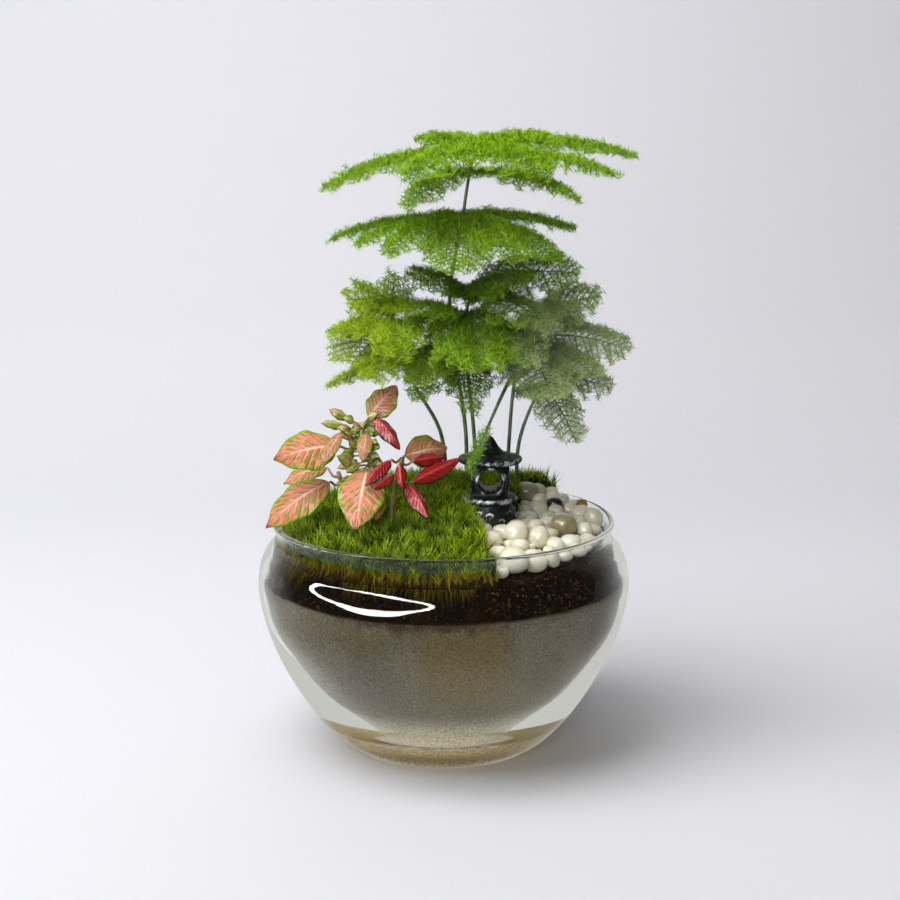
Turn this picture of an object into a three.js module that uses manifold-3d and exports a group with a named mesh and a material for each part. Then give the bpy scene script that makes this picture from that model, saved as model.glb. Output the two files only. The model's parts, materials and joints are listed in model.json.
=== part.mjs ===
// A planted glass terrarium: a round glass bowl holding sand, soil, moss and pebbles, with an
// asparagus fern, a pink nerve plant and a small cast garden lantern.
// Millimetres, +Z up, seen along +Y. The origin is the centre of the bowl's flat underside.

import * as THREE from "three";
import { mergeVertices } from "three/addons/utils/BufferGeometryUtils.js";
import Module from "manifold-3d";

const wasm = await Module();
wasm.setup();

// Driving dimensions

const GAP = 0.3; // clearance between pieces that touch or stand in one another
const SIDES = 32; // facets round the bowl, and round all that lies against its wall
const BOWL_OUTSIDE = [
  [38, 0], [45, 5], [54.6, 16], [64.5, 32], [71.3, 48], [74.9, 64], [74.2, 74], [71.8, 80.2], [68, 85],
  [67.8, 88], [68.9, 91.5],
]; // [radius, height]
const BOWL_INSIDE = [
  [40, 10.3], [46.5, 15], [59.5, 31], [68.6, 48], [72.5, 64], [71.7, 73.4], [69.4, 79.6], [65.6, 84.6],
  [65.4, 87.6], [66.5, 91.5],
];
const FLOOR_TOP = 10; // the thick glass floor
const SAND_TOP = 68.5;
const SOIL_AT_WALL = 80.5;
const PLANTED_RADIUS = 66; // radius at which the soil's dome meets the wall
const SOIL_DOME = 12; // how much higher the soil is at the middle than at the glass
const MOSS_DOME = 11;
const MOSS_DEPTH = 10.5;
const PEBBLE_PITCH = 9; // along a ring of pebbles, and a little less from ring to ring
const STONE_FACETS = 1.06; // widens each stone for what its flat facets cut off
const LANTERN = { x: 18.5, y: -9, z: 91.5, windowHeight: 19.3, windowRadius: 4.8 };
const BLADE = 0.7; // thickness of every leaf and frond blade

// Colours of the real materials

const LOOKS = {
  glass: { color: 0xdfe6e4, roughness: 0.03, metalness: 0, transparent: true, opacity: 0.25 },
  sand: { color: 0x7d7362, roughness: 0.95 },
  soil: { color: 0x2c1a10, roughness: 1 },
  moss: { color: 0x4d7a14, roughness: 0.95 },
  whiteStone: { color: 0xeeeae0, roughness: 0.35 },
  beigeStone: { color: 0xb3a98f, roughness: 0.35 },
  blackStone: { color: 0x1d2122, roughness: 0.3 },
  slateStone: { color: 0x4a4f50, roughness: 0.4 },
  oliveStone: { color: 0x8b8161, roughness: 0.35 },
  amberStone: { color: 0xa8713a, roughness: 0.35 },
  castResin: { color: 0x33383b, roughness: 0.55, metalness: 0.15 },
  fernGreen: { color: 0x4f9416, roughness: 0.7 },
  nerveStem: { color: 0x8a9a4a, roughness: 0.6 },
  nervePink: { color: 0xd98a72, roughness: 0.5 },
  nerveRed: { color: 0xa3232a, roughness: 0.4 },
};

// Helpers: solids

const vec = (p) => new THREE.Vector3(...p);

// The same number sequence on every run.
function seededDraw(seed) {
  let state = seed;
  return () => {
    state = (state * 16807) % 2147483647;
    return state / 2147483647;
  };
}

function solidOf(geometry) {
  const bare = new THREE.BufferGeometry();
  bare.setAttribute("position", geometry.getAttribute("position"));
  bare.setIndex(geometry.index);
  const merged = mergeVertices(bare, 1e-4);
  const kept = [];
  const index = merged.index.array;
  for (let i = 0; i < index.length; i += 3) {
    const [a, b, c] = [index[i], index[i + 1], index[i + 2]];
    if (a !== b && b !== c && c !== a) kept.push(a, b, c);
  }
  return new wasm.Manifold(
    new wasm.Mesh({
      numProp: 3,
      vertProperties: merged.getAttribute("position").array,
      triVerts: new Uint32Array(kept),
    }),
  );
}

function geometryOf(solid) {
  const mesh = solid.getMesh();
  const geometry = new THREE.BufferGeometry();
  geometry.setAttribute("position", new THREE.BufferAttribute(mesh.vertProperties.slice(), 3));
  geometry.setIndex(new THREE.BufferAttribute(mesh.triVerts.slice(), 1));
  geometry.computeVertexNormals();
  return geometry;
}

// The solids joined in one, without the scraps that a cut leaves loose.
function joined(solids) {
  const whole = solids.reduce((sum, next) => sum.add(next));
  return whole.decompose().reduce((best, body) => (body.volume() > best.volume() ? body : best));
}

function piece(name, form, look) {
  const geometry = form.isBufferGeometry ? form : geometryOf(form);
  const mesh = new THREE.Mesh(geometry, new THREE.MeshStandardMaterial(LOOKS[look]));
  mesh.name = name;
  return mesh;
}

function lathe(profile, sides = SIDES) {
  const points = profile.map(([r, z]) => new THREE.Vector2(r, z));
  return new THREE.LatheGeometry(points, sides).rotateX(Math.PI / 2);
}

function prism(outline, bottom, top) {
  const shape = new THREE.Shape(outline.map(([x, y]) => new THREE.Vector2(x, y)));
  const slab = new THREE.ExtrudeGeometry(shape, { depth: top - bottom, bevelEnabled: false });
  return solidOf(slab.translate(0, 0, bottom));
}

function roundPost(x, y, radius, bottom, top, sides = 16) {
  const post = new THREE.CylinderGeometry(radius, radius, top - bottom, sides).rotateX(Math.PI / 2);
  return solidOf(post.translate(x, y, (top + bottom) / 2));
}

// A closed skin over rings of points that run from the underside's centre out, up and back in.
function ringSkin(rings) {
  const positions = [];
  const starts = rings.map((ring) => {
    const start = positions.length / 3;
    ring.forEach((p) => positions.push(...p));
    return start;
  });
  const index = [];
  for (let i = 0; i + 1 < rings.length; i++) {
    const [low, high] = [rings[i], rings[i + 1]];
    for (let k = 0; k < SIDES; k++) {
      const next = (k + 1) % SIDES;
      const a = starts[i] + (low.length > 1 ? k : 0);
      const b = starts[i] + (low.length > 1 ? next : 0);
      const c = starts[i + 1] + (high.length > 1 ? next : 0);
      const d = starts[i + 1] + (high.length > 1 ? k : 0);
      if (low.length > 1) index.push(a, b, c);
      if (high.length > 1) index.push(a, c, d);
    }
  }
  const geometry = new THREE.BufferGeometry();
  geometry.setAttribute("position", new THREE.Float32BufferAttribute(positions, 3));
  geometry.setIndex(index);
  geometry.computeVertexNormals();
  return geometry;
}

// One ring of the skin, its corners on the same rays as the bowl's.
function ring(radius, heightAt) {
  return Array.from({ length: SIDES }, (_, k) => {
    const turn = (2 * Math.PI * k) / SIDES;
    const [x, y] = [radius * Math.sin(turn), -radius * Math.cos(turn)];
    return [x, y, heightAt(x, y, k)];
  });
}

// A rod that tapers along a smooth curve through the points, with flat ends.
function rod(points, startRadius, endRadius, steps, sides = 5) {
  const curve = points.length > 2
    ? new THREE.CatmullRomCurve3(points.map(vec))
    : new THREE.LineCurve3(vec(points[0]), vec(points[1]));
  const frames = curve.computeFrenetFrames(steps, false);
  const positions = [];
  for (let i = 0; i <= steps; i++) {
    const centre = curve.getPointAt(i / steps);
    const radius = startRadius + ((endRadius - startRadius) * i) / steps;
    for (let k = 0; k < sides; k++) {
      const turn = (2 * Math.PI * k) / sides;
      const corner = centre.clone()
        .addScaledVector(frames.normals[i], radius * Math.cos(turn))
        .addScaledVector(frames.binormals[i], radius * Math.sin(turn));
      positions.push(...corner);
    }
  }
  const index = [];
  for (let i = 0; i < steps; i++) {
    for (let k = 0; k < sides; k++) {
      const [a, b] = [i * sides + k, i * sides + ((k + 1) % sides)];
      index.push(a, b, b + sides, a, b + sides, a + sides);
    }
  }
  const last = steps * sides;
  for (let k = 1; k + 1 < sides; k++) {
    index.push(0, k + 1, k, last, last + k, last + k + 1);
  }
  const geometry = new THREE.BufferGeometry();
  geometry.setAttribute("position", new THREE.Float32BufferAttribute(positions, 3));
  geometry.setIndex(index);
  return solidOf(geometry);
}

// Bowl: one blown glass vessel with a thick floor and a rounded lip

function smoothProfile(keys, steps) {
  const curve = new THREE.SplineCurve(keys.map(([r, z]) => new THREE.Vector2(r, z)));
  return curve.getPoints(steps).map((p) => [p.x, p.y]);
}

const outsideWall = smoothProfile(BOWL_OUTSIDE, BOWL_OUTSIDE.length);
const insideWall = smoothProfile(BOWL_INSIDE, BOWL_INSIDE.length - 1);

const neckRadius = Math.min(...insideWall.filter(([, z]) => z > 70).map(([r]) => r));

// The inside radius of the faceted wall at a height.
function wallRadius(z) {
  for (let i = 0; i + 1 < insideWall.length; i++) {
    const [[r0, z0], [r1, z1]] = [insideWall[i], insideWall[i + 1]];
    if (z <= z1) return r0 + ((r1 - r0) * (z - z0)) / (z1 - z0);
  }
  return insideWall[insideWall.length - 1][0];
}

function bowl() {
  const [outerLip, innerLip] = [outsideWall.at(-1), insideWall.at(-1)];
  const lipRadius = (outerLip[0] - innerLip[0]) / 2;
  const lip = [1, 2].map((i) => {
    const turn = (Math.PI * i) / 3;
    return [innerLip[0] + lipRadius * (1 + Math.cos(turn)), outerLip[1] + lipRadius * Math.sin(turn)];
  });
  const profile = [[0, 0], ...outsideWall, ...lip, ...insideWall.slice().reverse(), [0, FLOOR_TOP]];
  return piece("glass_bowl", lathe(profile), "glass");
}

// The layers in the bowl

function wallPoints(bottom, top) {
  const between = insideWall.map(([, z]) => z).filter((z) => z > bottom + 1 && z < top - 1);
  return [bottom, ...between, top].map((z) => [wallRadius(z) - GAP, z]);
}

function sand() {
  const bottom = FLOOR_TOP + GAP + 0.2;
  const profile = [[0, bottom], ...wallPoints(bottom, SAND_TOP), [0, SAND_TOP]];
  return piece("sand_layer", lathe(profile), "sand");
}

const DOME_RINGS = [0.84, 0.6, 0.32]; // shares of the soil's radius
const NECK_START = 83; // where the wall begins to draw in towards the neck
const NECK_HEIGHT = 86;

function rise(from, to, value) {
  const t = Math.min(1, Math.max(0, (value - from) / (to - from)));
  return t * t * (3 - 2 * t);
}

// The soil's edge at the glass: banked up beside the pebbles, and more behind them.
function soilEdge(x, y) {
  return SOIL_AT_WALL + 4 * rise(30, 58, x) * (1 - rise(14, 36, y)) + 9 * rise(5, 50, y) * rise(-10, 30, x);
}

function soilHeight(x, y) {
  const spread = Math.min(1, Math.hypot(x, y) / PLANTED_RADIUS);
  return soilEdge(x, y) + SOIL_DOME * (1 - spread * spread);
}

// A ring against the glass, at a height that changes round the bowl.
function wallRing(heightAt, clearance) {
  return ring(PLANTED_RADIUS, heightAt).map(([x, y, z]) => {
    const radius = (z > NECK_HEIGHT ? neckRadius : wallRadius(z)) - clearance;
    return [(x * radius) / PLANTED_RADIUS, (y * radius) / PLANTED_RADIUS, z];
  });
}

// The soil, with its surface raised by that much: what lies on it is cut clear with a raised copy.
function soilBody(lift) {
  const bottom = SAND_TOP + GAP;
  const sides = wallPoints(bottom, SOIL_AT_WALL).map(([r, z]) => ring(r, () => z));
  const bank = [NECK_START, NECK_HEIGHT, Infinity].map((top) =>
    wallRing((x, y) => Math.min(top, soilEdge(x, y) + lift), 2 * GAP));
  const dome = DOME_RINGS.map((share) => ring(share * PLANTED_RADIUS, (x, y) => soilHeight(x, y) + lift));
  const middle = [[0, 0, soilHeight(0, 0) + lift]];
  return solidOf(ringSkin([[[0, 0, bottom]], ...sides, ...bank, ...dome, middle]));
}

// What stands in the soil takes a plain hole in it.
function soil(holes) {
  const bored = holes.reduce((rest, hole) => rest.subtract(hole), soilBody(0));
  return piece("soil_layer", joined([bored]), "soil");
}

// Moss: thick cushions whose shoots stand up as points

const MOSS_RINGS = 8;

// The cushions' tops: domed over the planting and swelling to the fern, with a tuft behind the pebbles.
function mossHeight(x, y) {
  const spread = Math.min(1, Math.hypot(x, y) / PLANTED_RADIUS);
  const dome = SOIL_AT_WALL + MOSS_DOME * (1 - spread ** 2) + 3 * rise(-20, 50, y) * (1 - spread ** 4);
  const swell = 3.5 * (1 - spread) * rise(-25, 15, y) + 1.5 * rise(20, 60, y);
  const tuft = 7 * Math.exp(-(((x - 46) / 20) ** 2 + ((y - 42) / 16) ** 2));
  return dome + MOSS_DEPTH + swell + tuft;
}

function mossBlanket() {
  const topRadius = neckRadius - 2 * GAP;
  const underside = [[0, 0, SOIL_AT_WALL]];
  const sides = [
    wallRing((x, y) => soilEdge(x, y) + GAP, 2 * GAP),
    wallRing((x, y) => Math.max(NECK_START, soilEdge(x, y) + 2 * GAP), 2 * GAP),
    ring(topRadius, (x, y) => Math.max(NECK_HEIGHT + 0.5, soilEdge(x, y) + 4 * GAP)),
  ];
  const draw = seededDraw(41);
  const top = [];
  for (let i = 0; i < MOSS_RINGS; i++) {
    const share = 1 - i / MOSS_RINGS;
    const shoot = (x, y, k) => mossHeight(x, y) + ((i + k) % 2 ? 1.6 : -1.6) + 1.4 * (draw() - 0.5);
    top.push(ring(share * topRadius, shoot));
  }
  const blanket = solidOf(ringSkin([underside, ...sides, ...top, [[0, 0, mossHeight(0, 0)]]]));
  return blanket.subtract(soilBody(GAP));
}

const MOSS_FRONT = [
  [-80, 8], [-5, 2], [12, -3], [10, -24], [14, -40], [20, -64], [20, -80], [-80, -80],
];
const MOSS_BACK = [
  [-80, 8.8], [-5, 2.8], [12, -2.2], [26, 2], [30, 14], [30, 36], [46, 44], [80, 36], [80, 80], [-80, 80],
];
const PEBBLE_GROUND = [
  [12, -25.5], [16, -40], [22, -64], [22, -80], [80, -80], [80, 34], [46, 42], [31.5, 34.5], [31.5, 13],
  [27, 0], [13, -6],
];

function mossCushions(holes) {
  const room = [...holes, ...STAND_OUT_STONES.map((s) => stone(s, GAP + 0.1))];
  const blanket = room.reduce((rest, hole) => rest.subtract(hole), mossBlanket());
  return [["moss_front", MOSS_FRONT], ["moss_back", MOSS_BACK]].map(([name, outline]) =>
    piece(name, joined([blanket.intersect(prism(outline, 70, 130))]), "moss"));
}

// Pebbles: one layer of rounded river stones, each touching its neighbours

const STAND_OUT_STONES = [
  // x, y, half its length, half its height, how far it is propped up on its neighbours
  { name: "pebble_olive", x: 47.5, y: -17, long: 5.2, tall: 4.7, lift: 0, look: "oliveStone" },
  { name: "pebble_black", x: 46, y: 16.5, long: 3.4, tall: 3.3, lift: 0.6, look: "blackStone" },
  { name: "pebble_slate", x: 46.5, y: -25, long: 2.6, tall: 2.2, lift: 0, look: "slateStone" },
  { name: "pebble_beige", x: 34.5, y: 28.5, long: 5.6, tall: 4.2, lift: 0.4, look: "beigeStone" },
  { name: "pebble_sand", x: 12.5, y: -26, long: 3.6, tall: 3, lift: 2.6, look: "oliveStone" },
  { name: "pebble_amber", x: 57.5, y: 21, long: 2.4, tall: 2.2, lift: 2.8, look: "amberStone" },
];

// A stone lies on the soil, its breadth between its length and its height.
function stone({ x, y, long, tall, turn = 0.3, lift = 0 }, grow = 0) {
  const ball = new THREE.IcosahedronGeometry(STONE_FACETS, 0);
  const place = new THREE.Matrix4().compose(
    new THREE.Vector3(x, y, soilHeight(x, y) + GAP + tall + lift),
    new THREE.Quaternion().setFromEuler(new THREE.Euler(0, 0, turn)),
    new THREE.Vector3(long + grow, (long + tall) / 2 + grow, tall + grow),
  );
  return solidOf(ball.applyMatrix4(place));
}

function insideOutline([x, y], outline) {
  let inside = false;
  outline.forEach(([x1, y1], i) => {
    const [x0, y0] = outline[(i + outline.length - 1) % outline.length];
    if (y1 > y !== y0 > y && x < ((x0 - x1) * (y - y1)) / (y0 - y1) + x1) inside = !inside;
  });
  return inside;
}

// Rings of stones that follow the wall, from the wall inwards.
function whiteStones() {
  const draw = seededDraw(7);
  const stones = [];
  const spread = (least, range) => least + range * draw();
  for (let radius = neckRadius - 5.8; radius > 5; radius -= 0.9 * PEBBLE_PITCH) {
    const count = Math.floor((2 * Math.PI * radius) / PEBBLE_PITCH);
    for (let k = 0; k < count; k++) {
      const bearing = (2 * Math.PI * (k + spread(-0.1, 0.2))) / count;
      const [x, y] = [radius * Math.sin(bearing), -radius * Math.cos(bearing)];
      const [long, tall, lift] = [spread(5.4, 0.7), spread(3.5, 0.5), spread(0, 0.8)];
      const clearOfLantern = Math.hypot(x - LANTERN.x, y - LANTERN.y) > LANTERN_FOOT + 2;
      const taken = STAND_OUT_STONES.some((s) => Math.hypot(x - s.x, y - s.y) < 0.6 * (s.long + long));
      if (!insideOutline([x, y], PEBBLE_GROUND) || !clearOfLantern || taken) continue;
      stones.push({ x, y, long, tall, lift, turn: bearing + spread(-0.4, 0.8) });
    }
  }
  return stones;
}

function pebbles(holes) {
  const room = [soilBody(GAP), ...holes, ...STAND_OUT_STONES.map((s) => stone(s, GAP + 0.1))];
  const inWall = solidOf(lathe([[0, 75], ...wallPoints(75, 91), [0, 91]]));
  const cupped = inWall.add(roundPost(0, 0, neckRadius - 2 * GAP, 85, 120));
  const heap = joined(whiteStones().map((s) => stone(s))).intersect(prism(PEBBLE_GROUND, 70, 130));
  const fitted = room.reduce((rest, cut) => rest.subtract(cut), heap).intersect(cupped);
  return [
    piece("pebbles_white", joined([fitted]), "whiteStone"),
    ...STAND_OUT_STONES.map((s) => piece(s.name, stone(s), s.look)),
  ];
}

// Lantern: one casting with a flared foot, a platform, a round-windowed chamber and a brimmed roof

const LANTERN_FOOT = 10.9;
const LANTERN_PROFILE = [
  [0, 0], [LANTERN_FOOT, 0], [10.9, 3], [10, 7], [8.6, 9.6], [10.7, 10.6], [10.7, 12.5], [7.2, 13.3],
  [7.8, 19.3], [7.2, 25.3], [12.6, 26.2], [12.6, 28.1], [8.6, 29.2], [5.2, 29.8], [2.6, 32.5], [0.9, 36],
  [0, 36.4],
];

function lantern() {
  const body = lathe(LANTERN_PROFILE, 20);
  const position = body.getAttribute("position");
  for (let i = 0; i < position.count; i++) {
    const [x, y, z] = [position.getX(i), position.getY(i), position.getZ(i)];
    // Carved relief round the foot
    const carved = z > 2 && z < 8 ? 1 + 0.035 * Math.cos(10 * Math.atan2(y, x)) : 1;
    position.setXY(i, x * carved, y * carved);
  }
  const tube = (radius, reach) => {
    const bore = new THREE.CylinderGeometry(radius, radius, 2 * reach, 16);
    return solidOf(bore.translate(0, 0, LANTERN.windowHeight));
  };
  const frame = tube(LANTERN.windowRadius + 0.9, 8.2);
  const cast = solidOf(body).add(frame).subtract(tube(LANTERN.windowRadius, 12));
  const mesh = piece("lantern", joined([cast]), "castResin");
  mesh.position.set(LANTERN.x, LANTERN.y, LANTERN.z);
  return mesh;
}

// Asparagus fern: wiry shoots that carry flat, feathery, slightly drooping fronds

const FERN_SHOOTS = [
  {
    name: "fern_tall",
    stem: [
      [9.5, 19, 84], [9.5, 19, 106], [9, 18, 126], [3.8, 16, 162], [2.6, 14, 184], [7, 12, 208],
      [10, 10, 228], [13, 8.5, 241],
    ],
    fronds: [
      { at: [12, 9, 238], tip: [-48, 0, 223.5], width: 32, arch: 6, pairs: 6 },
      { at: [12.3, 8.9, 239], tip: [-4, 44, 243.5], width: 28, arch: 2, pairs: 4 },
      { at: [12.6, 8.6, 240.5], tip: [77.5, 14, 236], width: 32, arch: 5, pairs: 6 },
      { at: [12, 9, 237], tip: [66, -24, 229.5], width: 28, arch: 5, pairs: 5 },
      { at: [12.4, 8.8, 241], tip: [42, 48, 243.5], width: 28, arch: 2, pairs: 4 },
      { at: [11, 9.5, 232], tip: [-14, -24, 218], width: 22, arch: 3, pairs: 4 },
      { at: [10.8, 9.6, 230.5], tip: [50, -32, 221.5], width: 22, arch: 4, pairs: 4 },
      { at: [7.6, 11.7, 212], tip: [-45.5, 13, 203.3], width: 28, arch: 4, pairs: 5 },
      { at: [7.4, 11.8, 211], tip: [-21, -24, 200], width: 26, arch: 4, pairs: 4 },
      { at: [7.2, 11.9, 209.5], tip: [4, -38, 194.5], width: 28, arch: 4, pairs: 5 },
      { at: [7.8, 11.6, 213.5], tip: [53.4, 22, 206.9], width: 28, arch: 3, pairs: 5 },
      { at: [7.5, 11.7, 210.5], tip: [44.2, -28, 198], width: 26, arch: 5, pairs: 5 },
      { at: [7.6, 11.7, 212.5], tip: [2, 50, 208], width: 26, arch: 2, pairs: 4 },
      { at: [4.4, 16.2, 158], tip: [-10, -22, 144], width: 22, arch: 4, pairs: 4 },
    ],
  },
  {
    name: "fern_left",
    stem: [[1, 15, 84], [1, 15, 106], [-1.5, 13, 126], [-12.8, 10, 147], [-18.3, 8, 162], [-20.5, 6, 178]],
    fronds: [
      { at: [-16, 8.8, 155], tip: [-46, -5, 146.4], width: 18, arch: 2, pairs: 4 },
      { at: [-19, 7.4, 167], tip: [-36, -18, 157], width: 32, arch: 4, pairs: 4, face: [0, -0.5, 1] },
      { at: [-20.2, 6.3, 175], tip: [-38, -2, 181], width: 28, arch: 3, pairs: 4, face: [0, -0.7, 1] },
      { at: [-20.5, 6, 177.5], tip: [-19, -2, 192], width: 15, arch: 1, pairs: 3, face: [0, -1, 0.2] },
      { at: [-19.8, 6.8, 171], tip: [-16, -38, 163], width: 24, arch: 5, pairs: 5 },
      { at: [-20, 6.5, 173], tip: [-28, 40, 176], width: 28, arch: 3, pairs: 4 },
    ],
  },
  {
    name: "fern_centre",
    stem: [[13.5, 23, 84], [13.5, 23, 106], [12, 22, 129], [9.6, 21, 150], [9, 20, 170], [12, 18, 187]],
    fronds: [
      { at: [9.2, 19.9, 174], tip: [14, -38, 158], width: 40, arch: 6, pairs: 5 },
      { at: [10.6, 19, 180], tip: [42, -22, 171], width: 34, arch: 5, pairs: 5 },
      { at: [12, 18, 186], tip: [54, 8, 190.5], width: 32, arch: 3, pairs: 5, face: [0, -0.6, 1] },
      { at: [10, 19.4, 178], tip: [18, 60, 178], width: 30, arch: 3, pairs: 5 },
      { at: [9.3, 20.6, 157], tip: [11, -21, 139], width: 20, arch: 4, pairs: 4 },
    ],
  },
  {
    name: "fern_right",
    stem: [[26.5, 24, 84], [26.5, 24, 106], [27, 22, 119], [28.5, 22, 140], [31, 21, 156], [36, 20, 171]],
    fronds: [
      { at: [33, 20.6, 162.5], tip: [74.5, 4, 160], width: 34, arch: 4, pairs: 5, face: [0, -0.4, 1] },
      { at: [36, 20, 170], tip: [63, 10, 181], width: 28, arch: 3, pairs: 4, face: [0, -0.7, 1] },
      { at: [31.2, 20.9, 157], tip: [42, -30, 146], width: 32, arch: 5, pairs: 5 },
      { at: [34, 20.4, 166], tip: [54, 52, 166], width: 28, arch: 3, pairs: 4 },
    ],
  },
  {
    name: "fern_low",
    stem: [[30, 17, 84], [30, 17, 106], [31, 16, 120.6], [35, 14, 134], [40.5, 11, 146]],
    fronds: [
      { at: [39.6, 11.5, 144], tip: [52, -18, 127], width: 20, arch: 4, pairs: 4, face: [0, -0.6, 1] },
      { at: [40.4, 11, 145.5], tip: [67, 0, 145.5], width: 24, arch: 3, pairs: 4, face: [0, -0.4, 1] },
      { at: [37, 13, 138.5], tip: [42, 46, 137], width: 20, arch: 3, pairs: 3 },
    ],
  },
  {
    name: "fern_hanging",
    stem: [[30, 20.6, 148], [27, -4, 151], [22.5, -18, 145], [17, -25, 134]],
    fronds: [{ at: [17.2, -24.8, 134.4], tip: [9.8, -29, 117], width: 9, arch: 0, pairs: 3 }],
  },
];
const FERN_STEM_RADIUS = { foot: 0.95, top: 0.6 };

// A frond in one thin blade: side sprays on a slim rib, each with its needles as teeth.
function frond({ at, tip, width, arch, pairs, face = [0, 0, 1] }) {
  const along = vec(tip).sub(vec(at));
  const length = along.length();
  const half = width / 2;
  const rib = 0.5;
  const step = length / (pairs + 0.9);
  const side = (sign) => {
    const points = [];
    for (let i = 0; i < pairs; i++) {
      const root = step * (i + 1 + (sign > 0 ? 0 : -0.35));
      const reach = half * Math.sin(Math.PI * (0.2 + (0.78 * root) / length)) ** 0.8;
      const [forward, thick] = [0.45 * reach, 0.18 * step];
      points.push(
        [root - thick, rib],
        [root + forward - 1.6 * thick, reach],
        [root + 0.55 * forward + 0.9 * thick, 0.52 * reach],
        [root + 0.8 * forward + 2.6 * thick, 0.66 * reach],
        [root + thick, rib],
      );
    }
    return points.map(([u, v]) => [u, sign * v]);
  };
  const outline = [[-0.4, -rib], ...side(-1), [length, 0], ...side(1).reverse(), [-0.4, rib]];
  const shape = new THREE.Shape(outline.map(([u, v]) => new THREE.Vector2(u, v)));
  const blade = new THREE.ExtrudeGeometry(shape, { depth: BLADE, bevelEnabled: false });
  blade.translate(0, 0, -BLADE / 2);
  const position = blade.getAttribute("position");
  for (let i = 0; i < position.count; i++) {
    const [u, v] = [position.getX(i), position.getY(i)];
    const share = Math.min(1, Math.max(0, u / length));
    const bend = 4 * arch * share * (1 - share) - 0.16 * arch * (v / half) ** 2 * half * 0.35;
    position.setZ(i, position.getZ(i) + bend);
  }
  const forward = along.normalize();
  const across = vec(face).cross(forward).normalize();
  const up = forward.clone().cross(across);
  blade.applyMatrix4(new THREE.Matrix4().makeBasis(forward, across, up).setPosition(...at));
  return solidOf(blade);
}

function fernShoot({ name, stem, fronds }) {
  const steps = 2 * (stem.length - 1);
  const stalk = rod(stem, FERN_STEM_RADIUS.foot, FERN_STEM_RADIUS.top, steps);
  return piece(name, joined([stalk, ...fronds.map(frond)]), "fernGreen");
}

// Nerve plant: leafy stems with broad netted leaves, and narrow red ones folded along the rib

const NERVE_STEMS = [
  {
    name: "nerve_stem_main",
    path: [[-29, -20, 84], [-29, -20, 101], [-28.5, -23, 119], [-31.5, -22, 134.5]],
  },
  { name: "nerve_stem_right", path: [[-20, -22, 84], [-20, -22, 101], [-16, -29, 123]] },
  { name: "nerve_stem_left", path: [[-37, -18, 84], [-37, -18, 99], [-41, -22, 116]] },
];
const NERVE_STEM_RADIUS = { foot: 1.3, top: 0.9 };
const PETIOLE_RADIUS = 0.55;

const NERVE_LEAVES = [
  { name: "left_upper", stem: 0, base: [-41, -25, 127], tip: [-65.1, -34, 123.2],
    width: 17.5, face: [-0.1, -0.8, 0.6], arch: 2.5 },
  { name: "left_lower", stem: 2, base: [-44, -27, 113], tip: [-68.4, -35, 96.5],
    width: 16, face: [-0.4, -0.75, 0.55], arch: 3 },
  { name: "front", stem: 0, base: [-29.5, -33, 119], tip: [-33.2, -50, 99.5],
    width: 18, face: [0, -0.9, 0.45], arch: 3 },
  { name: "top", stem: 0, base: [-29, -20, 137], tip: [-18.1, -14, 148.7],
    width: 13, face: [-0.5, -0.8, 0.3], arch: 1 },
  { name: "middle", stem: 0, base: [-29.5, -29, 133], tip: [-31, -34, 122.5],
    width: 6, face: [0, -0.95, 0.3], arch: 1 },
  { name: "small", stem: 0, base: [-39, -32, 133.5], tip: [-46.5, -38, 122],
    width: 5.5, face: [-0.2, -0.9, 0.3], arch: 1 },
  { name: "right", stem: 1, base: [-15, -20, 122], tip: [1.5, -12, 123.5],
    width: 14, face: [0, -0.85, 0.5], arch: 2 },
  { name: "behind", stem: 2, base: [-46, -15, 116], tip: [-63, -17, 110],
    width: 10, face: [-0.3, -0.5, 0.8], arch: 2 },
  { name: "under", stem: 0, base: [-25.5, -31, 112], tip: [-25.4, -41, 101],
    width: 7.5, face: [0.1, -0.95, 0.3], arch: 1 },
  { name: "bud_left", stem: 0, base: [-38, -25, 135], tip: [-47, -28, 136.5],
    width: 4.5, face: [0, -0.6, 0.8], arch: 1 },
  { name: "bud_top", stem: 0, base: [-37, -21, 137], tip: [-44.2, -23, 141],
    width: 4.5, face: [0, -0.7, 0.7], arch: 1 },
];
const NERVE_RED_LEAVES = [
  { name: "red_arch", stem: 0, base: [-27, -27, 139], tip: [-16.5, -33, 127],
    width: 6.5, face: [0.3, -0.8, 0.5], arch: 3 },
  { name: "red_low", stem: 1, base: [-11.5, -27, 121.5], tip: [1, -24, 122.5],
    width: 5.5, face: [0, -0.8, 0.5], arch: 1 },
  { name: "red_right", stem: 1, base: [-12, -32, 114], tip: [6.9, -27, 122.5],
    width: 7, face: [0.1, -0.8, 0.5], arch: 1 },
  { name: "red_front", stem: 1, base: [-14, -36, 115], tip: [-5.7, -46, 103],
    width: 7, face: [0.4, -0.8, 0.4], arch: 2 },
  { name: "red_hanging", stem: 1, base: [-16.5, -38.5, 123], tip: [-15.5, -42, 113.5],
    width: 4.5, face: [0, -0.9, 0.3], arch: 1 },
  { name: "red_curved", stem: 1, base: [-20, -36, 123.5], tip: [-29.5, -43, 115],
    width: 6, face: [-0.3, -0.7, 0.6], arch: 2.5 },
  { name: "red_small", stem: 1, base: [-18.5, -38, 118.5], tip: [-26.5, -44.5, 113.8],
    width: 4, face: [-0.3, -0.8, 0.5], arch: 1 },
];

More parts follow.
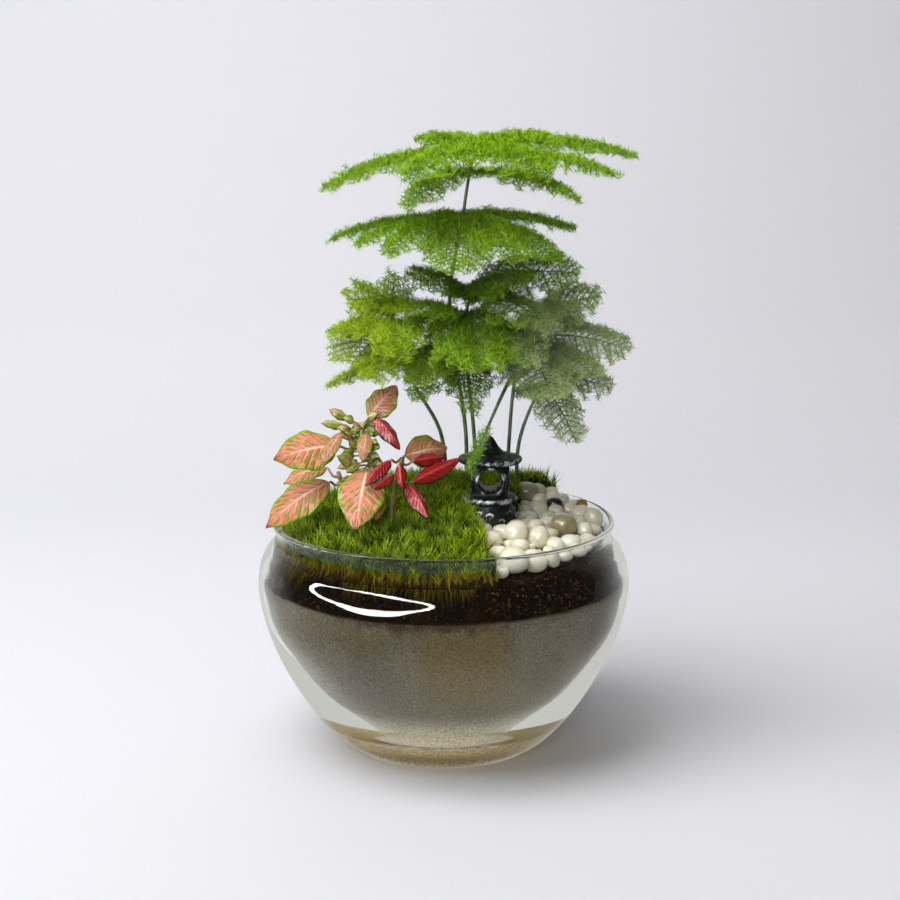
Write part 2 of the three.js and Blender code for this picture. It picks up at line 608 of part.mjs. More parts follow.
// A pointed oval leaf in one thin blade, arched along its rib and folded or dished across it.
function leaf({ base, tip, width, face, arch }, fold) {
  const rows = 5;
  const start = vec(base);
  const along = vec(tip).sub(start);
  const across = vec(face).cross(along).normalize();
  const out = along.clone().cross(across).normalize();
  const positions = [];
  const at = (share, sideways, offset) => {
    const halfWidth = 0.5 * width * Math.sin(Math.PI * share ** 0.85) ** 0.85;
    const lift = 4 * arch * share * (1 - share) - fold * Math.abs(sideways) * halfWidth + offset;
    const p = start.clone().addScaledVector(along, share);
    positions.push(...p.addScaledVector(across, sideways * halfWidth).addScaledVector(out, lift));
    return positions.length / 3 - 1;
  };
  const faces = [-BLADE / 2, BLADE / 2].map((offset) => {
    const table = [];
    for (let i = 0; i <= rows; i++) {
      const pointed = i === 0 || i === rows;
      const share = i === 0 ? 0.015 : i === rows ? 0.99 : i / rows;
      table.push(pointed ? [at(share, 0, offset)] : [-1, 0, 1].map((s) => at(share, s, offset)));
    }
    return table;
  });
  const index = [];
  const triangle = (a, b, c) => {
    index.push(faces[0].flat()[a], faces[0].flat()[b], faces[0].flat()[c]);
    index.push(faces[1].flat()[c], faces[1].flat()[b], faces[1].flat()[a]);
  };
  const first = (i) => (i === 0 ? 0 : 1 + 3 * (i - 1));
  triangle(0, 2, 1);
  triangle(0, 3, 2);
  for (let i = 1; i + 1 < rows; i++) {
    const [a, b] = [first(i), first(i + 1)];
    triangle(a, a + 1, b + 1);
    triangle(a, b + 1, b);
    triangle(a + 1, a + 2, b + 1);
    triangle(a + 2, b + 2, b + 1);
  }
  const [last, point] = [first(rows - 1), first(rows)];
  triangle(last, last + 1, point);
  triangle(last + 1, last + 2, point);
  const leftEdge = [0];
  const rightEdge = [0];
  for (let i = 1; i < rows; i++) {
    leftEdge.push(first(i));
    rightEdge.push(first(i) + 2);
  }
  const rim = [...leftEdge, point, ...rightEdge.slice(1).reverse()];
  rim.forEach((from, i) => {
    const to = rim[(i + 1) % rim.length];
    const [a, b] = [faces[0].flat()[from], faces[0].flat()[to]];
    const [c, d] = [faces[1].flat()[from], faces[1].flat()[to]];
    index.push(a, b, d, a, d, c);
  });
  const geometry = new THREE.BufferGeometry();
  geometry.setAttribute("position", new THREE.Float32BufferAttribute(positions, 3));
  geometry.setIndex(index);
  return solidOf(geometry);
}

function nerveStem({ name, path }, number, leaves) {
  const curve = new THREE.CatmullRomCurve3(path.map(vec));
  const samples = curve.getSpacedPoints(40);
  const petioles = leaves.filter((l) => l.stem === number).map(({ base, tip }) => {
    const end = vec(base);
    const back = vec(tip).sub(end).normalize();
    end.addScaledVector(back, -GAP);
    const low = end.clone().add(new THREE.Vector3(0, 0, -3));
    const root = samples.reduce((best, p) => (p.distanceTo(low) < best.distanceTo(low) ? p : best));
    return rod([root.toArray(), end.toArray()], PETIOLE_RADIUS, PETIOLE_RADIUS, 1, 4);
  });
  const stalk = rod(path, NERVE_STEM_RADIUS.foot, NERVE_STEM_RADIUS.top, 2 * (path.length - 1));
  return piece(name, joined([stalk, ...petioles]), "nerveStem");
}

function nervePlant() {
  const plant = new THREE.Group();
  const leaves = [...NERVE_LEAVES, ...NERVE_RED_LEAVES];
  NERVE_STEMS.forEach((stem, i) => plant.add(nerveStem(stem, i, leaves)));
  NERVE_LEAVES.forEach((l) => plant.add(piece(`nerve_leaf_${l.name}`, leaf(l, 0.15), "nervePink")));
  NERVE_RED_LEAVES.forEach((l) => plant.add(piece(`nerve_leaf_${l.name}`, leaf(l, 0.9), "nerveRed")));
  return plant;
}

// Holes that the stems and the lantern's foot stand in

function holes() {
  const around = ([[x, y, z]], radius) => roundPost(x, y, radius, z - GAP, 120, 8);
  const rooted = FERN_SHOOTS.filter((shoot) => shoot.stem[0][2] < SOIL_AT_WALL + 10);
  return [
    ...rooted.map((shoot) => around(shoot.stem, FERN_STEM_RADIUS.foot + 2 * GAP)),
    ...NERVE_STEMS.map((stem) => around(stem.path, NERVE_STEM_RADIUS.foot + 2 * GAP)),
    roundPost(LANTERN.x, LANTERN.y, LANTERN_FOOT + 2 * GAP, LANTERN.z - GAP, 130),
  ];
}

// The whole terrarium

const terrarium = new THREE.Group();
const plantHoles = holes();
terrarium.add(bowl(), sand(), soil(plantHoles), ...mossCushions(plantHoles));
terrarium.add(...pebbles(plantHoles), lantern());
FERN_SHOOTS.forEach((shoot) => terrarium.add(fernShoot(shoot)));
terrarium.add(nervePlant());

export default terrarium;
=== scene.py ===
"""A planted glass terrarium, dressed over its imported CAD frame.

Sizes are in millimetres and become metres where a mesh is made. +Z is up, the front faces -Y,
and the origin is the centre of the bowl's flat underside.
"""

import json
import math
import random

import bmesh
import bpy
import numpy as np
from mathutils import Euler, Matrix, Vector, noise

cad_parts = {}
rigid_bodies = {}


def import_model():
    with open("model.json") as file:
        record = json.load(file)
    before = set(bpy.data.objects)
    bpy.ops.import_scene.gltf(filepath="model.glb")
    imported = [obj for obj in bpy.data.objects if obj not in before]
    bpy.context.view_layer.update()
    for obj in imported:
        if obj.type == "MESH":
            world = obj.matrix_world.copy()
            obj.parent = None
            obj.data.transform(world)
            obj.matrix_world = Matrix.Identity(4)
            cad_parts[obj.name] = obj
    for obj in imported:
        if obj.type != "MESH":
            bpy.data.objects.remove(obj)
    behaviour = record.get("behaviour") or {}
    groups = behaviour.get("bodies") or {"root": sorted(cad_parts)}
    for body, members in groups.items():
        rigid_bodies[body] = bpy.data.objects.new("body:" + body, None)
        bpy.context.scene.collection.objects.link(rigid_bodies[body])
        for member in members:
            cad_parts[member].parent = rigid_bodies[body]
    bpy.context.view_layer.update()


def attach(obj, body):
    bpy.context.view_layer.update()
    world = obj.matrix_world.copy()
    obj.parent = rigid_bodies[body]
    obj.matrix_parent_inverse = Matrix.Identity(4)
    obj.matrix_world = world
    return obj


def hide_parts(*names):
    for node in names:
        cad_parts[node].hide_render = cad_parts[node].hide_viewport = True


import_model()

MM = 0.001

# Sizes shared with the part's source

GAP = 0.3
BOWL_OUTSIDE = [
    (38, 0), (45, 5), (54.6, 16), (64.5, 32), (71.3, 48), (74.9, 64), (74.2, 74), (71.8, 80.2), (68, 85),
    (67.8, 88), (68.9, 91.5),
]
BOWL_INSIDE = [
    (40, 10.3), (46.5, 15), (59.5, 31), (68.6, 48), (72.5, 64), (71.7, 73.4), (69.4, 79.6), (65.6, 84.6),
    (65.4, 87.6), (66.5, 91.5),
]
FLOOR_TOP = 10
SAND_TOP = 68.5
SOIL_AT_WALL = 80.5
PLANTED_RADIUS = 66
SOIL_DOME = 12
MOSS_DOME = 11
MOSS_DEPTH = 10.5
LANTERN_AT = (18.5, -9, 91.5)
LANTERN_FOOT = 10.9
WINDOW_HEIGHT = 19.3
WINDOW_RADIUS = 4.8

MOSS_FRONT = [(-80, 8), (-5, 2), (12, -3), (10, -24), (14, -40), (20, -64), (20, -80), (-80, -80)]
MOSS_BACK = [
    (-80, 8.8), (-5, 2.8), (12, -2.2), (26, 2), (30, 14), (30, 36), (46, 44), (80, 36), (80, 80),
    (-80, 80),
]
PEBBLE_GROUND = [
    (12, -25.5), (16, -40), (22, -64), (22, -80), (80, -80), (80, 34), (46, 42), (31.5, 34.5), (31.5, 13),
    (27, 0), (13, -6),
]

# Node trees


class Value:
    """A node's output, written in sums as if it were a number."""

    def __init__(self, tree, socket):
        self.tree, self.socket = tree, socket

    def other(self, output):
        """Another output of the same node."""
        return Value(self.tree, self.socket.node.outputs[output])

    def __add__(self, given):
        return self.tree.math("ADD", self, given)

    def __sub__(self, given):
        return self.tree.math("SUBTRACT", self, given)

    def __rsub__(self, given):
        return self.tree.math("SUBTRACT", given, self)

    def __mul__(self, given):
        return self.tree.math("MULTIPLY", self, given)

    def __truediv__(self, given):
        return self.tree.math("DIVIDE", self, given)

    def __pow__(self, given):
        return self.tree.math("POWER", self, given)

    __radd__ = __add__
    __rmul__ = __mul__


class Tree:
    """Adds nodes to one shader or geometry tree."""

    def __init__(self, nodes):
        self.nodes = nodes

    def node(self, kind, settings=None, inputs=None, output=0):
        """A new node: its settings are made first, then its inputs, and one output is given back."""
        made = self.nodes.nodes.new(kind)
        for name, setting in (settings or {}).items():
            if name == "stops":
                self.set_stops(made.color_ramp, setting)
            else:
                setattr(made, name, setting)
        for key, given in (inputs or {}).items():
            if isinstance(given, Value):
                self.nodes.links.new(given.socket, made.inputs[key])
            else:
                made.inputs[key].default_value = given
        return Value(self, made.outputs[output])

    @staticmethod
    def set_stops(ramp, stops):
        while len(ramp.elements) < len(stops):
            ramp.elements.new(0.5)
        for element, (place, colour) in zip(ramp.elements, stops):
            element.position = place
            element.color = (*colour, 1)

    def math(self, operation, *values):
        return self.node("ShaderNodeMath", {"operation": operation}, dict(enumerate(values)))

    def vector(self, operation, *values):
        return self.node("ShaderNodeVectorMath", {"operation": operation}, dict(enumerate(values)))

    def mix(self, share, low, high):
        """A colour between two others, which are colours or sockets."""
        low, high = [c if isinstance(c, Value) else (*c, 1) for c in (low, high)]
        return self.node("ShaderNodeMix", {"data_type": "RGBA"}, {0: share, 6: low, 7: high}, 2)

    def band(self, value, low, high, start=0.0, end=1.0):
        """A smooth step from start at low to end at high."""
        settings = {"interpolation_type": "SMOOTHSTEP"}
        return self.node("ShaderNodeMapRange", settings, {0: value, 1: low, 2: high, 3: start, 4: end})

    def noise(self, place, scale, detail, rough=0.55):
        inputs = {"Vector": place, "Scale": scale, "Detail": detail, "Roughness": rough}
        return self.node("ShaderNodeTexNoise", {}, inputs)

    def cells(self, place, scale, randomness=1.0):
        """The distance to the nearest of many scattered points."""
        inputs = {"Vector": place, "Scale": scale, "Randomness": randomness}
        return self.node("ShaderNodeTexVoronoi", {}, inputs)

    def axis(self, place, name):
        """One of a place's three coordinates, in its own units."""
        return self.node("ShaderNodeSeparateXYZ", {}, {0: place}, name)


class Paint(Tree):
    """A material with a Principled shader whose sockets take numbers, colours or node outputs."""

    def __init__(self, name, **fixed):
        self.material = bpy.data.materials.new(name)
        self.material.use_nodes = True
        super().__init__(self.material.node_tree)
        self.shader = self.nodes.nodes["Principled BSDF"]
        self.coat(**fixed)
        self.place = self.node("ShaderNodeTexCoord", output="Object")

    def coat(self, **sockets):
        for name, given in sockets.items():
            socket = self.shader.inputs[name.replace("_", " ")]
            if isinstance(given, Value):
                self.nodes.links.new(given.socket, socket)
            elif isinstance(given, tuple):
                socket.default_value = (*given, 1)
            else:
                socket.default_value = given

    def cover(self, share, over):
        """Mixes another shader over the Principled one."""
        shown = Value(self, self.shader.outputs[0])
        both = self.node("ShaderNodeMixShader", {}, {0: share, 1: shown, 2: over})
        self.nodes.links.new(both.socket, self.nodes.nodes["Material Output"].inputs["Surface"])

    def bump(self, height, depth):
        """Relief that many millimetres deep."""
        inputs = {"Height": height, "Distance": depth * MM, "Strength": 1.0}
        self.coat(Normal=self.node("ShaderNodeBump", {}, inputs))

    def attribute(self, name):
        return self.node("ShaderNodeAttribute", {"attribute_name": name}, output="Fac")

    def side(self):
        """Millimetres to the right of the bowl's centre."""
        return self.axis(self.place, "X") / MM

    def height(self):
        """Millimetres above the table."""
        return self.axis(self.place, "Z") / MM

    def near(self, point, radius):
        """1 about a point in millimetres, and 0 from that radius on."""
        away = self.vector("DISTANCE", self.place, tuple(c * MM for c in point)).other("Value")
        return self.band(away / MM, radius, 0.2 * radius)


class Growth(Tree):
    """A Geometry Nodes tree with named sizes."""

    def __init__(self, name, sizes):
        super().__init__(bpy.data.node_groups.new(name, "GeometryNodeTree"))
        face = self.nodes.interface
        face.new_socket("Geometry", in_out="INPUT", socket_type="NodeSocketGeometry")
        for title, size in sizes.items():
            kind = "NodeSocketInt" if isinstance(size, int) else "NodeSocketFloat"
            face.new_socket(title, in_out="INPUT", socket_type=kind).default_value = size
        face.new_socket("Geometry", in_out="OUTPUT", socket_type="NodeSocketGeometry")
        self.entry = self.node("NodeGroupInput")

    def given(self, title):
        return self.entry.other(title)

    def named(self, name, kind="FLOAT"):
        return self.node("GeometryNodeInputNamedAttribute", {"data_type": kind}, {"Name": name})

    def random(self, low, high, step):
        """A random number for each point; each use has its own step from the seed."""
        inputs = {2: low, 3: high, "Seed": self.given("Seed") + step}
        return self.node("FunctionNodeRandomValue", {"data_type": "FLOAT"}, inputs, 1)

    def store(self, geometry, name, value, domain):
        settings = {"data_type": "FLOAT", "domain": domain}
        inputs = {"Geometry": geometry, "Name": name, "Value": value}
        return self.node("GeometryNodeStoreNamedAttribute", settings, inputs)

    def turned(self, rotation, axis, angle):
        """The rotation turned further about its own axis."""
        by = self.node("FunctionNodeAxisAngleToRotation", {}, {"Axis": axis, "Angle": angle})
        return self.node("FunctionNodeRotateRotation", {"rotation_space": "LOCAL"}, {0: rotation, 1: by})

    def scattered(self, points, shape, rotation, scale):
        """The shape on every point, with a random shade for each, in one mesh."""
        inputs = {"Points": points, "Instance": shape, "Rotation": rotation, "Scale": scale}
        placed = self.node("GeometryNodeInstanceOnPoints", {}, inputs)
        shaded = self.store(placed, "shade", self.random(0.0, 1.0, 90), "INSTANCE")
        return self.node("GeometryNodeRealizeInstances", {}, {0: shaded})

    def chosen(self, geometry, selection):
        inputs = {"Geometry": geometry, "Selection": selection}
        return self.node("GeometryNodeSeparateGeometry", {"domain": "POINT"}, inputs)

    def rods(self, lines, sides):
        """Round rods along lines of points, as thick as the radius marked on each."""
        circle = {"Resolution": sides, "Radius": 1.0}
        tubes = self.node("GeometryNodeCurveToMesh", {}, {
            "Curve": self.node("GeometryNodeMeshToCurve", {}, {"Mesh": lines}),
            "Profile Curve": self.node("GeometryNodeCurvePrimitiveCircle", {"mode": "RADIUS"}, circle),
            "Scale": self.named("radius"), "Fill Caps": True,
        })
        whole = self.node("GeometryNodeRealizeInstances", {}, {0: tubes})
        return self.node("GeometryNodeSetShadeSmooth", {}, {"Geometry": whole})

    def painted(self, geometry, material):
        return self.node("GeometryNodeSetMaterial", {}, {"Geometry": geometry, "Material": material})

    def joined(self, *parts):
        together = self.nodes.nodes.new("GeometryNodeJoinGeometry")
        for part in parts:
            self.nodes.links.new(part.socket, together.inputs[0])
        return Value(self, together.outputs[0])

    def finish(self, geometry):
        leave = self.nodes.nodes.new("NodeGroupOutput")
        self.nodes.links.new(geometry.socket, leave.inputs[0])

    def run(self, piece, keep=()):
        """Grows the piece and keeps the result as its plain mesh, with only the marks to keep."""
        modifier = piece.modifiers.new("growth", "NODES")
        modifier.node_group = self.nodes
        settle(piece)
        for name in [a.name for a in piece.data.attributes]:
            attribute = piece.data.attributes[name]
            built_in = attribute.is_required or attribute.is_internal
            if not built_in and name not in (*keep, "sharp_face", "material_index", "UVMap"):
                piece.data.attributes.remove(attribute)
        return piece


# Meshes


def settle(piece):
    """Turns the piece's modifiers into its plain mesh."""
    depsgraph = bpy.context.evaluated_depsgraph_get()
    plain = bpy.data.meshes.new_from_object(piece.evaluated_get(depsgraph), depsgraph=depsgraph)
    worn = piece.data
    piece.modifiers.clear()
    piece.data = plain
    bpy.data.meshes.remove(worn)
    plain.name = piece.name
    return piece


def mesh_object(name, points, faces, edges=(), smooth=True):
    mesh = bpy.data.meshes.new(name)
    mesh.from_pydata([(x * MM, y * MM, z * MM) for x, y, z in points], edges, faces)
    if smooth:
        mesh.shade_smooth()
    made = bpy.data.objects.new(name, mesh)
    bpy.context.scene.collection.objects.link(made)
    return made


def mark(piece, name, values, kind="FLOAT"):
    layer = piece.data.attributes.new(name, kind, "POINT")
    key = "vector" if kind == "FLOAT_VECTOR" else "value"
    layer.data.foreach_set(key, np.asarray(values, dtype=np.float32).ravel())


def merged(name, pieces):
    """One mesh from several, with their marks and materials."""
    for other in bpy.context.scene.objects:
        other.select_set(other in pieces)
    bpy.context.view_layer.objects.active = pieces[0]
    bpy.ops.object.join()
    pieces[0].select_set(False)
    pieces[0].name = name
    pieces[0].data.name = name
    return pieces[0]


def boolean(piece, tool, operation):
    modifier = piece.modifiers.new("cut", "BOOLEAN")
    modifier.object = tool
    modifier.operation = operation
    modifier.solver = "EXACT"
    settle(piece)
    bpy.data.objects.remove(tool)
    return piece


def skin(rows):
    """Faces between rows of point numbers that run from the underside's centre out, up and back in."""
    faces = []
    for low, high in zip(rows, rows[1:]):
        count = max(len(low), len(high))
        for k in range(count):
            after = (k + 1) % count
            corners = [low[k], low[after]] if len(low) > 1 else [low[0]]
            corners += [high[after], high[k]] if len(high) > 1 else [high[0]]
            faces.append(corners)
    return faces


def ring_skin(name, rings, closed=False):
    """A mesh over rings of points; a closed one runs on from the last ring to the first."""
    points, rows = [], []
    for ring in rings:
        rows.append(list(range(len(points), len(points) + len(ring))))
        points += ring
    if closed:
        rows.append(rows[0])
    return mesh_object(name, points, skin(rows))


def around(radius, height, sides):
    """A ring of points.

    The radius may be a function of x and y on the unit circle, and the height a function of the
    point's own x and y.
    """
    points = []
    for k in range(sides):
        turn = 2 * math.pi * k / sides
        x, y = math.sin(turn), -math.cos(turn)
        r = radius(x, y) if callable(radius) else radius
        z = height(r * x, r * y) if callable(height) else height
        points.append((r * x, r * y, z))
    return points


def lathe(name, profile, sides):
    rings = [[(0, 0, z)] if r == 0 else around(r, z, sides) for r, z in profile]
    return ring_skin(name, rings)


def prism(name, outline, bottom, top):
    count = len(outline)
    points = [(x, y, z) for z in (bottom, top) for x, y in outline]
    sides = [(k, (k + 1) % count, count + (k + 1) % count, count + k) for k in range(count)]
    made = mesh_object(name, points, [list(range(count))[::-1], list(range(count, 2 * count)), *sides])
    return outward(made)


def outward(piece):
    work = bmesh.new()
    work.from_mesh(piece.data)
    bmesh.ops.recalc_face_normals(work, faces=work.faces)
    work.to_mesh(piece.data)
    work.free()
    return piece


def spline_profile(keys, steps):
    """Points on a smooth line through the keys, as the part's source makes it."""
    points = [Vector(key) for key in keys]
    last = len(points) - 1
    line = []
    for i in range(steps + 1):
        place = last * i / steps
        k = min(int(place), last - 1)
        t = place - k
        before, start = points[max(k - 1, 0)], points[k]
        end, after = points[k + 1], points[min(k + 2, last)]
        leave, arrive = (end - before) * 0.5, (after - start) * 0.5
        cubic = (2 * start - 2 * end + leave + arrive) * t**3
        line.append(cubic + (3 * end - 3 * start - 2 * leave - arrive) * t**2 + leave * t + start)
    return [tuple(p) for p in line]


def smooth_path(keys, steps):
    """Centripetal curve through the keys, with that many steps from key to key."""
    points = [Vector(key) for key in keys]
    if len(points) == 2:
        return [points[0].lerp(points[1], i / steps) for i in range(steps + 1)]
    points = [2 * points[0] - points[1], *points, 2 * points[-1] - points[-2]]
    path = []
    for a, b, c, d in zip(points, points[1:], points[2:], points[3:]):
        near, mid, far = [max((q - p).length, 1e-6) ** 0.5 for p, q in ((a, b), (b, c), (c, d))]
        leave = ((b - a) / near - (c - a) / (near + mid) + (c - b) / mid) * mid
        arrive = ((c - b) / mid - (d - b) / (mid + far) + (d - c) / far) * mid
        for i in range(steps):
            t = i / steps
            cubic = (2 * b - 2 * c + leave + arrive) * t**3
            path.append(cubic + (3 * c - 3 * b - 2 * leave - arrive) * t**2 + leave * t + b)
    return [*path, points[-2]]


def rise(low, high, value):
    t = min(1, max(0, (value - low) / (high - low)))
    return t * t * (3 - 2 * t)


def drift(x, y, z, size, seed=0):
    """Smooth noise from -1 to 1 with lumps of that many millimetres."""
    return noise.noise(Vector((x / size + 17.3 * seed, y / size - 5.1 * seed, z / size + 9.7 * seed)))


def dress(piece, slot, *nodes):
    """The piece rides with the bowl and stands for CAD nodes; the slot is not used."""
    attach(piece, "root")
    if nodes:
        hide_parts(*nodes)
    return piece


# Finishes


def clear_glass():
    glass = Paint("clear_glass", Base_Color=(0.965, 0.985, 0.98), Roughness=0.0)
    glass.coat(IOR=1.46, Transmission_Weight=1.0)
    ghost = glass.node("ShaderNodeBsdfTransparent", {}, {"Color": (0.93, 0.95, 0.94, 1)})
    # Light goes straight on for shadows, and once it has been mirrored three times inside the wall
    path = glass.node("ShaderNodeLightPath", output="Is Shadow Ray")
    trapped = glass.math("GREATER_THAN", path.other("Glossy Depth"), 2.5)
    glass.cover(glass.math("MAXIMUM", path, trapped), ghost)
    return glass.material


def layered_sand():
    """Grey-brown and stained above, with a pale line and a tan band at its foot, both partly painted
    light.
    """
    sand = Paint("layered_sand", Roughness=0.95, Specular_IOR_Level=0.05)
    grain = sand.noise(sand.place, 1250, 3, 0.7)
    cloud = sand.noise(sand.place, 55, 3)
    height = sand.height()
    plain = sand.mix(sand.band(cloud, 0.35, 0.65), (0.25, 0.205, 0.13), (0.20, 0.165, 0.105))
    # Painted light: the sand is paler towards the left, where the key light falls
    left = sand.mix(sand.band(sand.side(), -35, -58) * 0.5, plain, (0.42, 0.36, 0.25))
    stain = sand.band(sand.noise(sand.place, 26, 2), 0.42, 0.62) * sand.band(height, 38, 60)
    stained = sand.mix(stain * 0.6, left, (0.19, 0.125, 0.03))
    olive = sand.mix(sand.near((8, -70, 49), 26) * 0.5, stained, (0.24, 0.16, 0.02))
    shaded = sand.mix(sand.near((-27, -60, 38), 26) * 0.5, olive, (0.11, 0.09, 0.06))
    # Pale and then tan towards the foot: partly the sand's own layers, partly painted light, brightened
    # to stand in for light thrown up from the table through the base
    pale = sand.mix(sand.band(height, 31, 14), shaded, (0.95, 0.84, 0.62))
    tan = sand.mix(sand.band(height, 14, 12), pale, (0.84, 0.68, 0.40))
    light = sand.mix(sand.band(grain, 0.38, 0.64), (0.66, 0.65, 0.63), (1.36, 1.36, 1.36))
    grained = sand.vector("MULTIPLY", tan, light)
    ragged = height + sand.noise(sand.place, 150, 4, 0.7) * 22
    trickle = sand.band(ragged, 75, 80) * sand.near((-8, -70, 66), 44)
    trickled = sand.mix(trickle * 0.85, grained, (0.04, 0.018, 0.006))
    spark = sand.band(sand.cells(sand.place, 640), 0.2, 0.08)
    specks = sand.band(sand.cells(sand.place, 130), 0.1, 0.06)
    dotted = sand.mix(spark * 0.5, trickled, (0.74, 0.65, 0.48))
    sand.coat(Base_Color=sand.mix(specks * 0.6, dotted, (0.03, 0.022, 0.015)))
    sand.bump(grain + spark, 0.35)
    return sand.material


def dark_soil():
    soil = Paint("dark_soil", Roughness=0.95, Specular_IOR_Level=0.05)
    crumb = soil.noise(soil.place, 900, 4, 0.7)
    patch = soil.noise(soil.place, 90, 3)
    dark = soil.mix(soil.band(crumb, 0.4, 0.65), (0.004, 0.002, 0.001), (0.03, 0.013, 0.005))
    soil.coat(Base_Color=soil.mix(soil.band(patch, 0.5, 0.7) * 0.5, dark, (0.05, 0.02, 0.006)))
    soil.bump(crumb, 0.5)
    return soil.material


def bark_crumb():
    crumb = Paint("bark_crumb", Roughness=0.9, Specular_IOR_Level=0.1)
    shade = crumb.attribute("shade")
    stops = [
        (0.0, (0.005, 0.003, 0.001)), (0.3, (0.03, 0.013, 0.004)), (0.75, (0.09, 0.036, 0.009)),
        (1.0, (0.21, 0.09, 0.022)),
    ]
    colour = crumb.node("ShaderNodeValToRGB", {"stops": stops}, {"Fac": shade})
    lit = crumb.mix(crumb.near((38, -60, 80), 34) * 0.5, colour, (0.23, 0.10, 0.025))
    clod = crumb.band(crumb.noise(crumb.place, 190, 3), 0.42, 0.6) * 0.75
    crumb.coat(Base_Color=crumb.mix(clod, lit, (0.022, 0.009, 0.003)))
    return crumb.material


def moss_green():
    """Bright at the tips, dark at the roots, and straw-brown where it hangs by the glass."""
    brown_below = 87.0
    moss = Paint("moss_green", Roughness=0.6, Specular_IOR_Level=0.12)
    tip = moss.attribute("tip")
    shade = moss.attribute("shade")
    cloud = moss.noise(moss.place, 45, 3)
    # The tips are pale and the roots near black: partly the moss's own colour, partly painted light on
    # the tips and painted shade deep in the cushion
    deep = moss.mix(shade, (0.004, 0.012, 0.0005), (0.02, 0.055, 0.001))
    bright = moss.mix(shade**2 + cloud * 0.3, (0.045, 0.14, 0.001), (0.66, 0.88, 0.010))
    # Painted light: the tuft at the back right is brighter, making up for the shade that the fern casts
    # over it
    lit_tuft = moss.mix(moss.near((40, 38, 100), 26) * shade * 0.8, bright, (0.86, 0.95, 0.05))
    green = moss.mix(moss.band(tip, 0.1, 0.8), deep, lit_tuft)
    straw = moss.mix(shade, (0.06, 0.026, 0.002), (0.62, 0.42, 0.02))
    low = moss.band(moss.height() + cloud * 5, brown_below + 4, brown_below)
    moss.coat(Base_Color=moss.mix(low * 0.85, green, straw))
    return moss.material


def moss_bed():
    bed = Paint("moss_bed", Roughness=0.95, Specular_IOR_Level=0.05)
    grain = bed.noise(bed.place, 700, 4, 0.7)
    colour = bed.mix(grain, (0.004, 0.008, 0.001), (0.025, 0.045, 0.004))
    low = bed.band(bed.height(), 90, 84)
    bed.coat(Base_Color=bed.mix(low, colour, (0.05, 0.03, 0.008)))
    bed.bump(grain, 0.6)
    return bed.material


def river_stone(name, light, dark, gloss, veins=0.25):
    """A cloudy polished stone with dark pits, and browner the higher its tone."""
    stone = Paint(name, Roughness=gloss, Coat_Weight=0.25, Coat_Roughness=0.12)
    cloud = stone.noise(stone.place, 170, 4, 0.6)
    fine = stone.noise(stone.place, 1400, 3)
    body = stone.mix(stone.band(cloud, 0.35, 0.68), light, dark)
    tone = stone.attribute("tone")
    cream = stone.mix(tone * 0.6, body, tuple(0.55 * d * d for d in dark))
    pits = stone.band(stone.cells(stone.place, 420), 0.12, 0.04)
    stone.coat(Base_Color=stone.mix(pits * veins, cream, tuple(0.4 * d for d in dark)))
    stone.bump(fine - pits, 0.05)
    return stone.material


def cast_resin():
    """Near-black resin with worn silver brushed over what is raised."""
    resin = Paint("cast_resin", Roughness=0.42, Specular_IOR_Level=0.2)
    raised = resin.attribute("raised")
    grain = resin.noise(resin.place, 900, 4, 0.65)
    sweep = resin.noise(resin.place, 260, 3)
    silver = resin.band(raised + (grain - 0.5) * 0.9 + (sweep - 0.5) * 0.9, 0.42, 0.85)
    base = resin.mix(grain, (0.004, 0.005, 0.005), (0.022, 0.026, 0.026))
    resin.coat(Base_Color=resin.mix(silver, base, (0.56, 0.60, 0.62)))
    resin.coat(Roughness=resin.band(silver, 0, 1, 0.4, 0.34), Metallic=silver * 0.35)
    resin.bump(grain, 0.12)
    return resin.material


def fern_green():
    """Yellower on the left, greyer on the right with a painted sheen, darker inside with painted shade,
    and darker low down.
    """
    fern = Paint("fern_green", Roughness=0.5, Specular_IOR_Level=0.12)
    shade = fern.attribute("shade")
    tip = fern.attribute("tip")
    side, height = fern.side(), fern.height()
    cloud = fern.noise(fern.place, 38, 2)
    leaf = fern.mix(shade, (0.045, 0.17, 0.001), (0.27, 0.52, 0.003))
    lit = fern.mix(fern.band(tip, 0.2, 1.0) * 0.5, leaf, (0.46, 0.68, 0.012))
    warm = fern.band(side + cloud * 30, 22, -22) * fern.band(height, 196, 176)
    yellow = fern.mix(warm * 0.55, lit, (0.46, 0.56, 0.004))
    # Painted sheen: the needles on the right are paler and greyer, standing in for light shining through
    # and off them
    greyer_sheen = fern.band(side + cloud * 24, 32, 54) * fern.band(height, 192, 172)
    # Painted shade: the needles are darker inside the crown
    deep = fern.mix(fern.near((10, 20, 163), 58) * 0.85, yellow, (0.025, 0.12, 0.001))
    lower = fern.mix(fern.band(height, 150, 118) * 0.5, deep, (0.06, 0.17, 0.01))
    fern.coat(Base_Color=fern.mix(greyer_sheen * 0.85, lower, (0.46, 0.55, 0.27)))
    return fern.material


def fern_wood():
    wood = Paint("fern_wood", Roughness=0.55)
    streak = wood.node("ShaderNodeMapping", {}, {"Vector": wood.place, "Scale": (1.0, 1.0, 0.12)})
    lines = wood.noise(streak, 1500, 3, 0.6)
    wood.coat(Base_Color=wood.mix(wood.band(lines, 0.35, 0.7), (0.018, 0.055, 0.008), (0.16, 0.26, 0.06)))
    wood.bump(lines, 0.12)
    return wood.material


def nerve_stalk():
    stalk = Paint("nerve_stalk", Roughness=0.5)
    cloud = stalk.noise(stalk.place, 190, 3)
    pinkish = stalk.band(cloud, 0.4, 0.62)
    stalk.coat(Base_Color=stalk.mix(pinkish, (0.15, 0.17, 0.018), (0.46, 0.24, 0.13)))
    stalk.bump(stalk.noise(stalk.place, 1200, 3), 0.08)
    return stalk.material


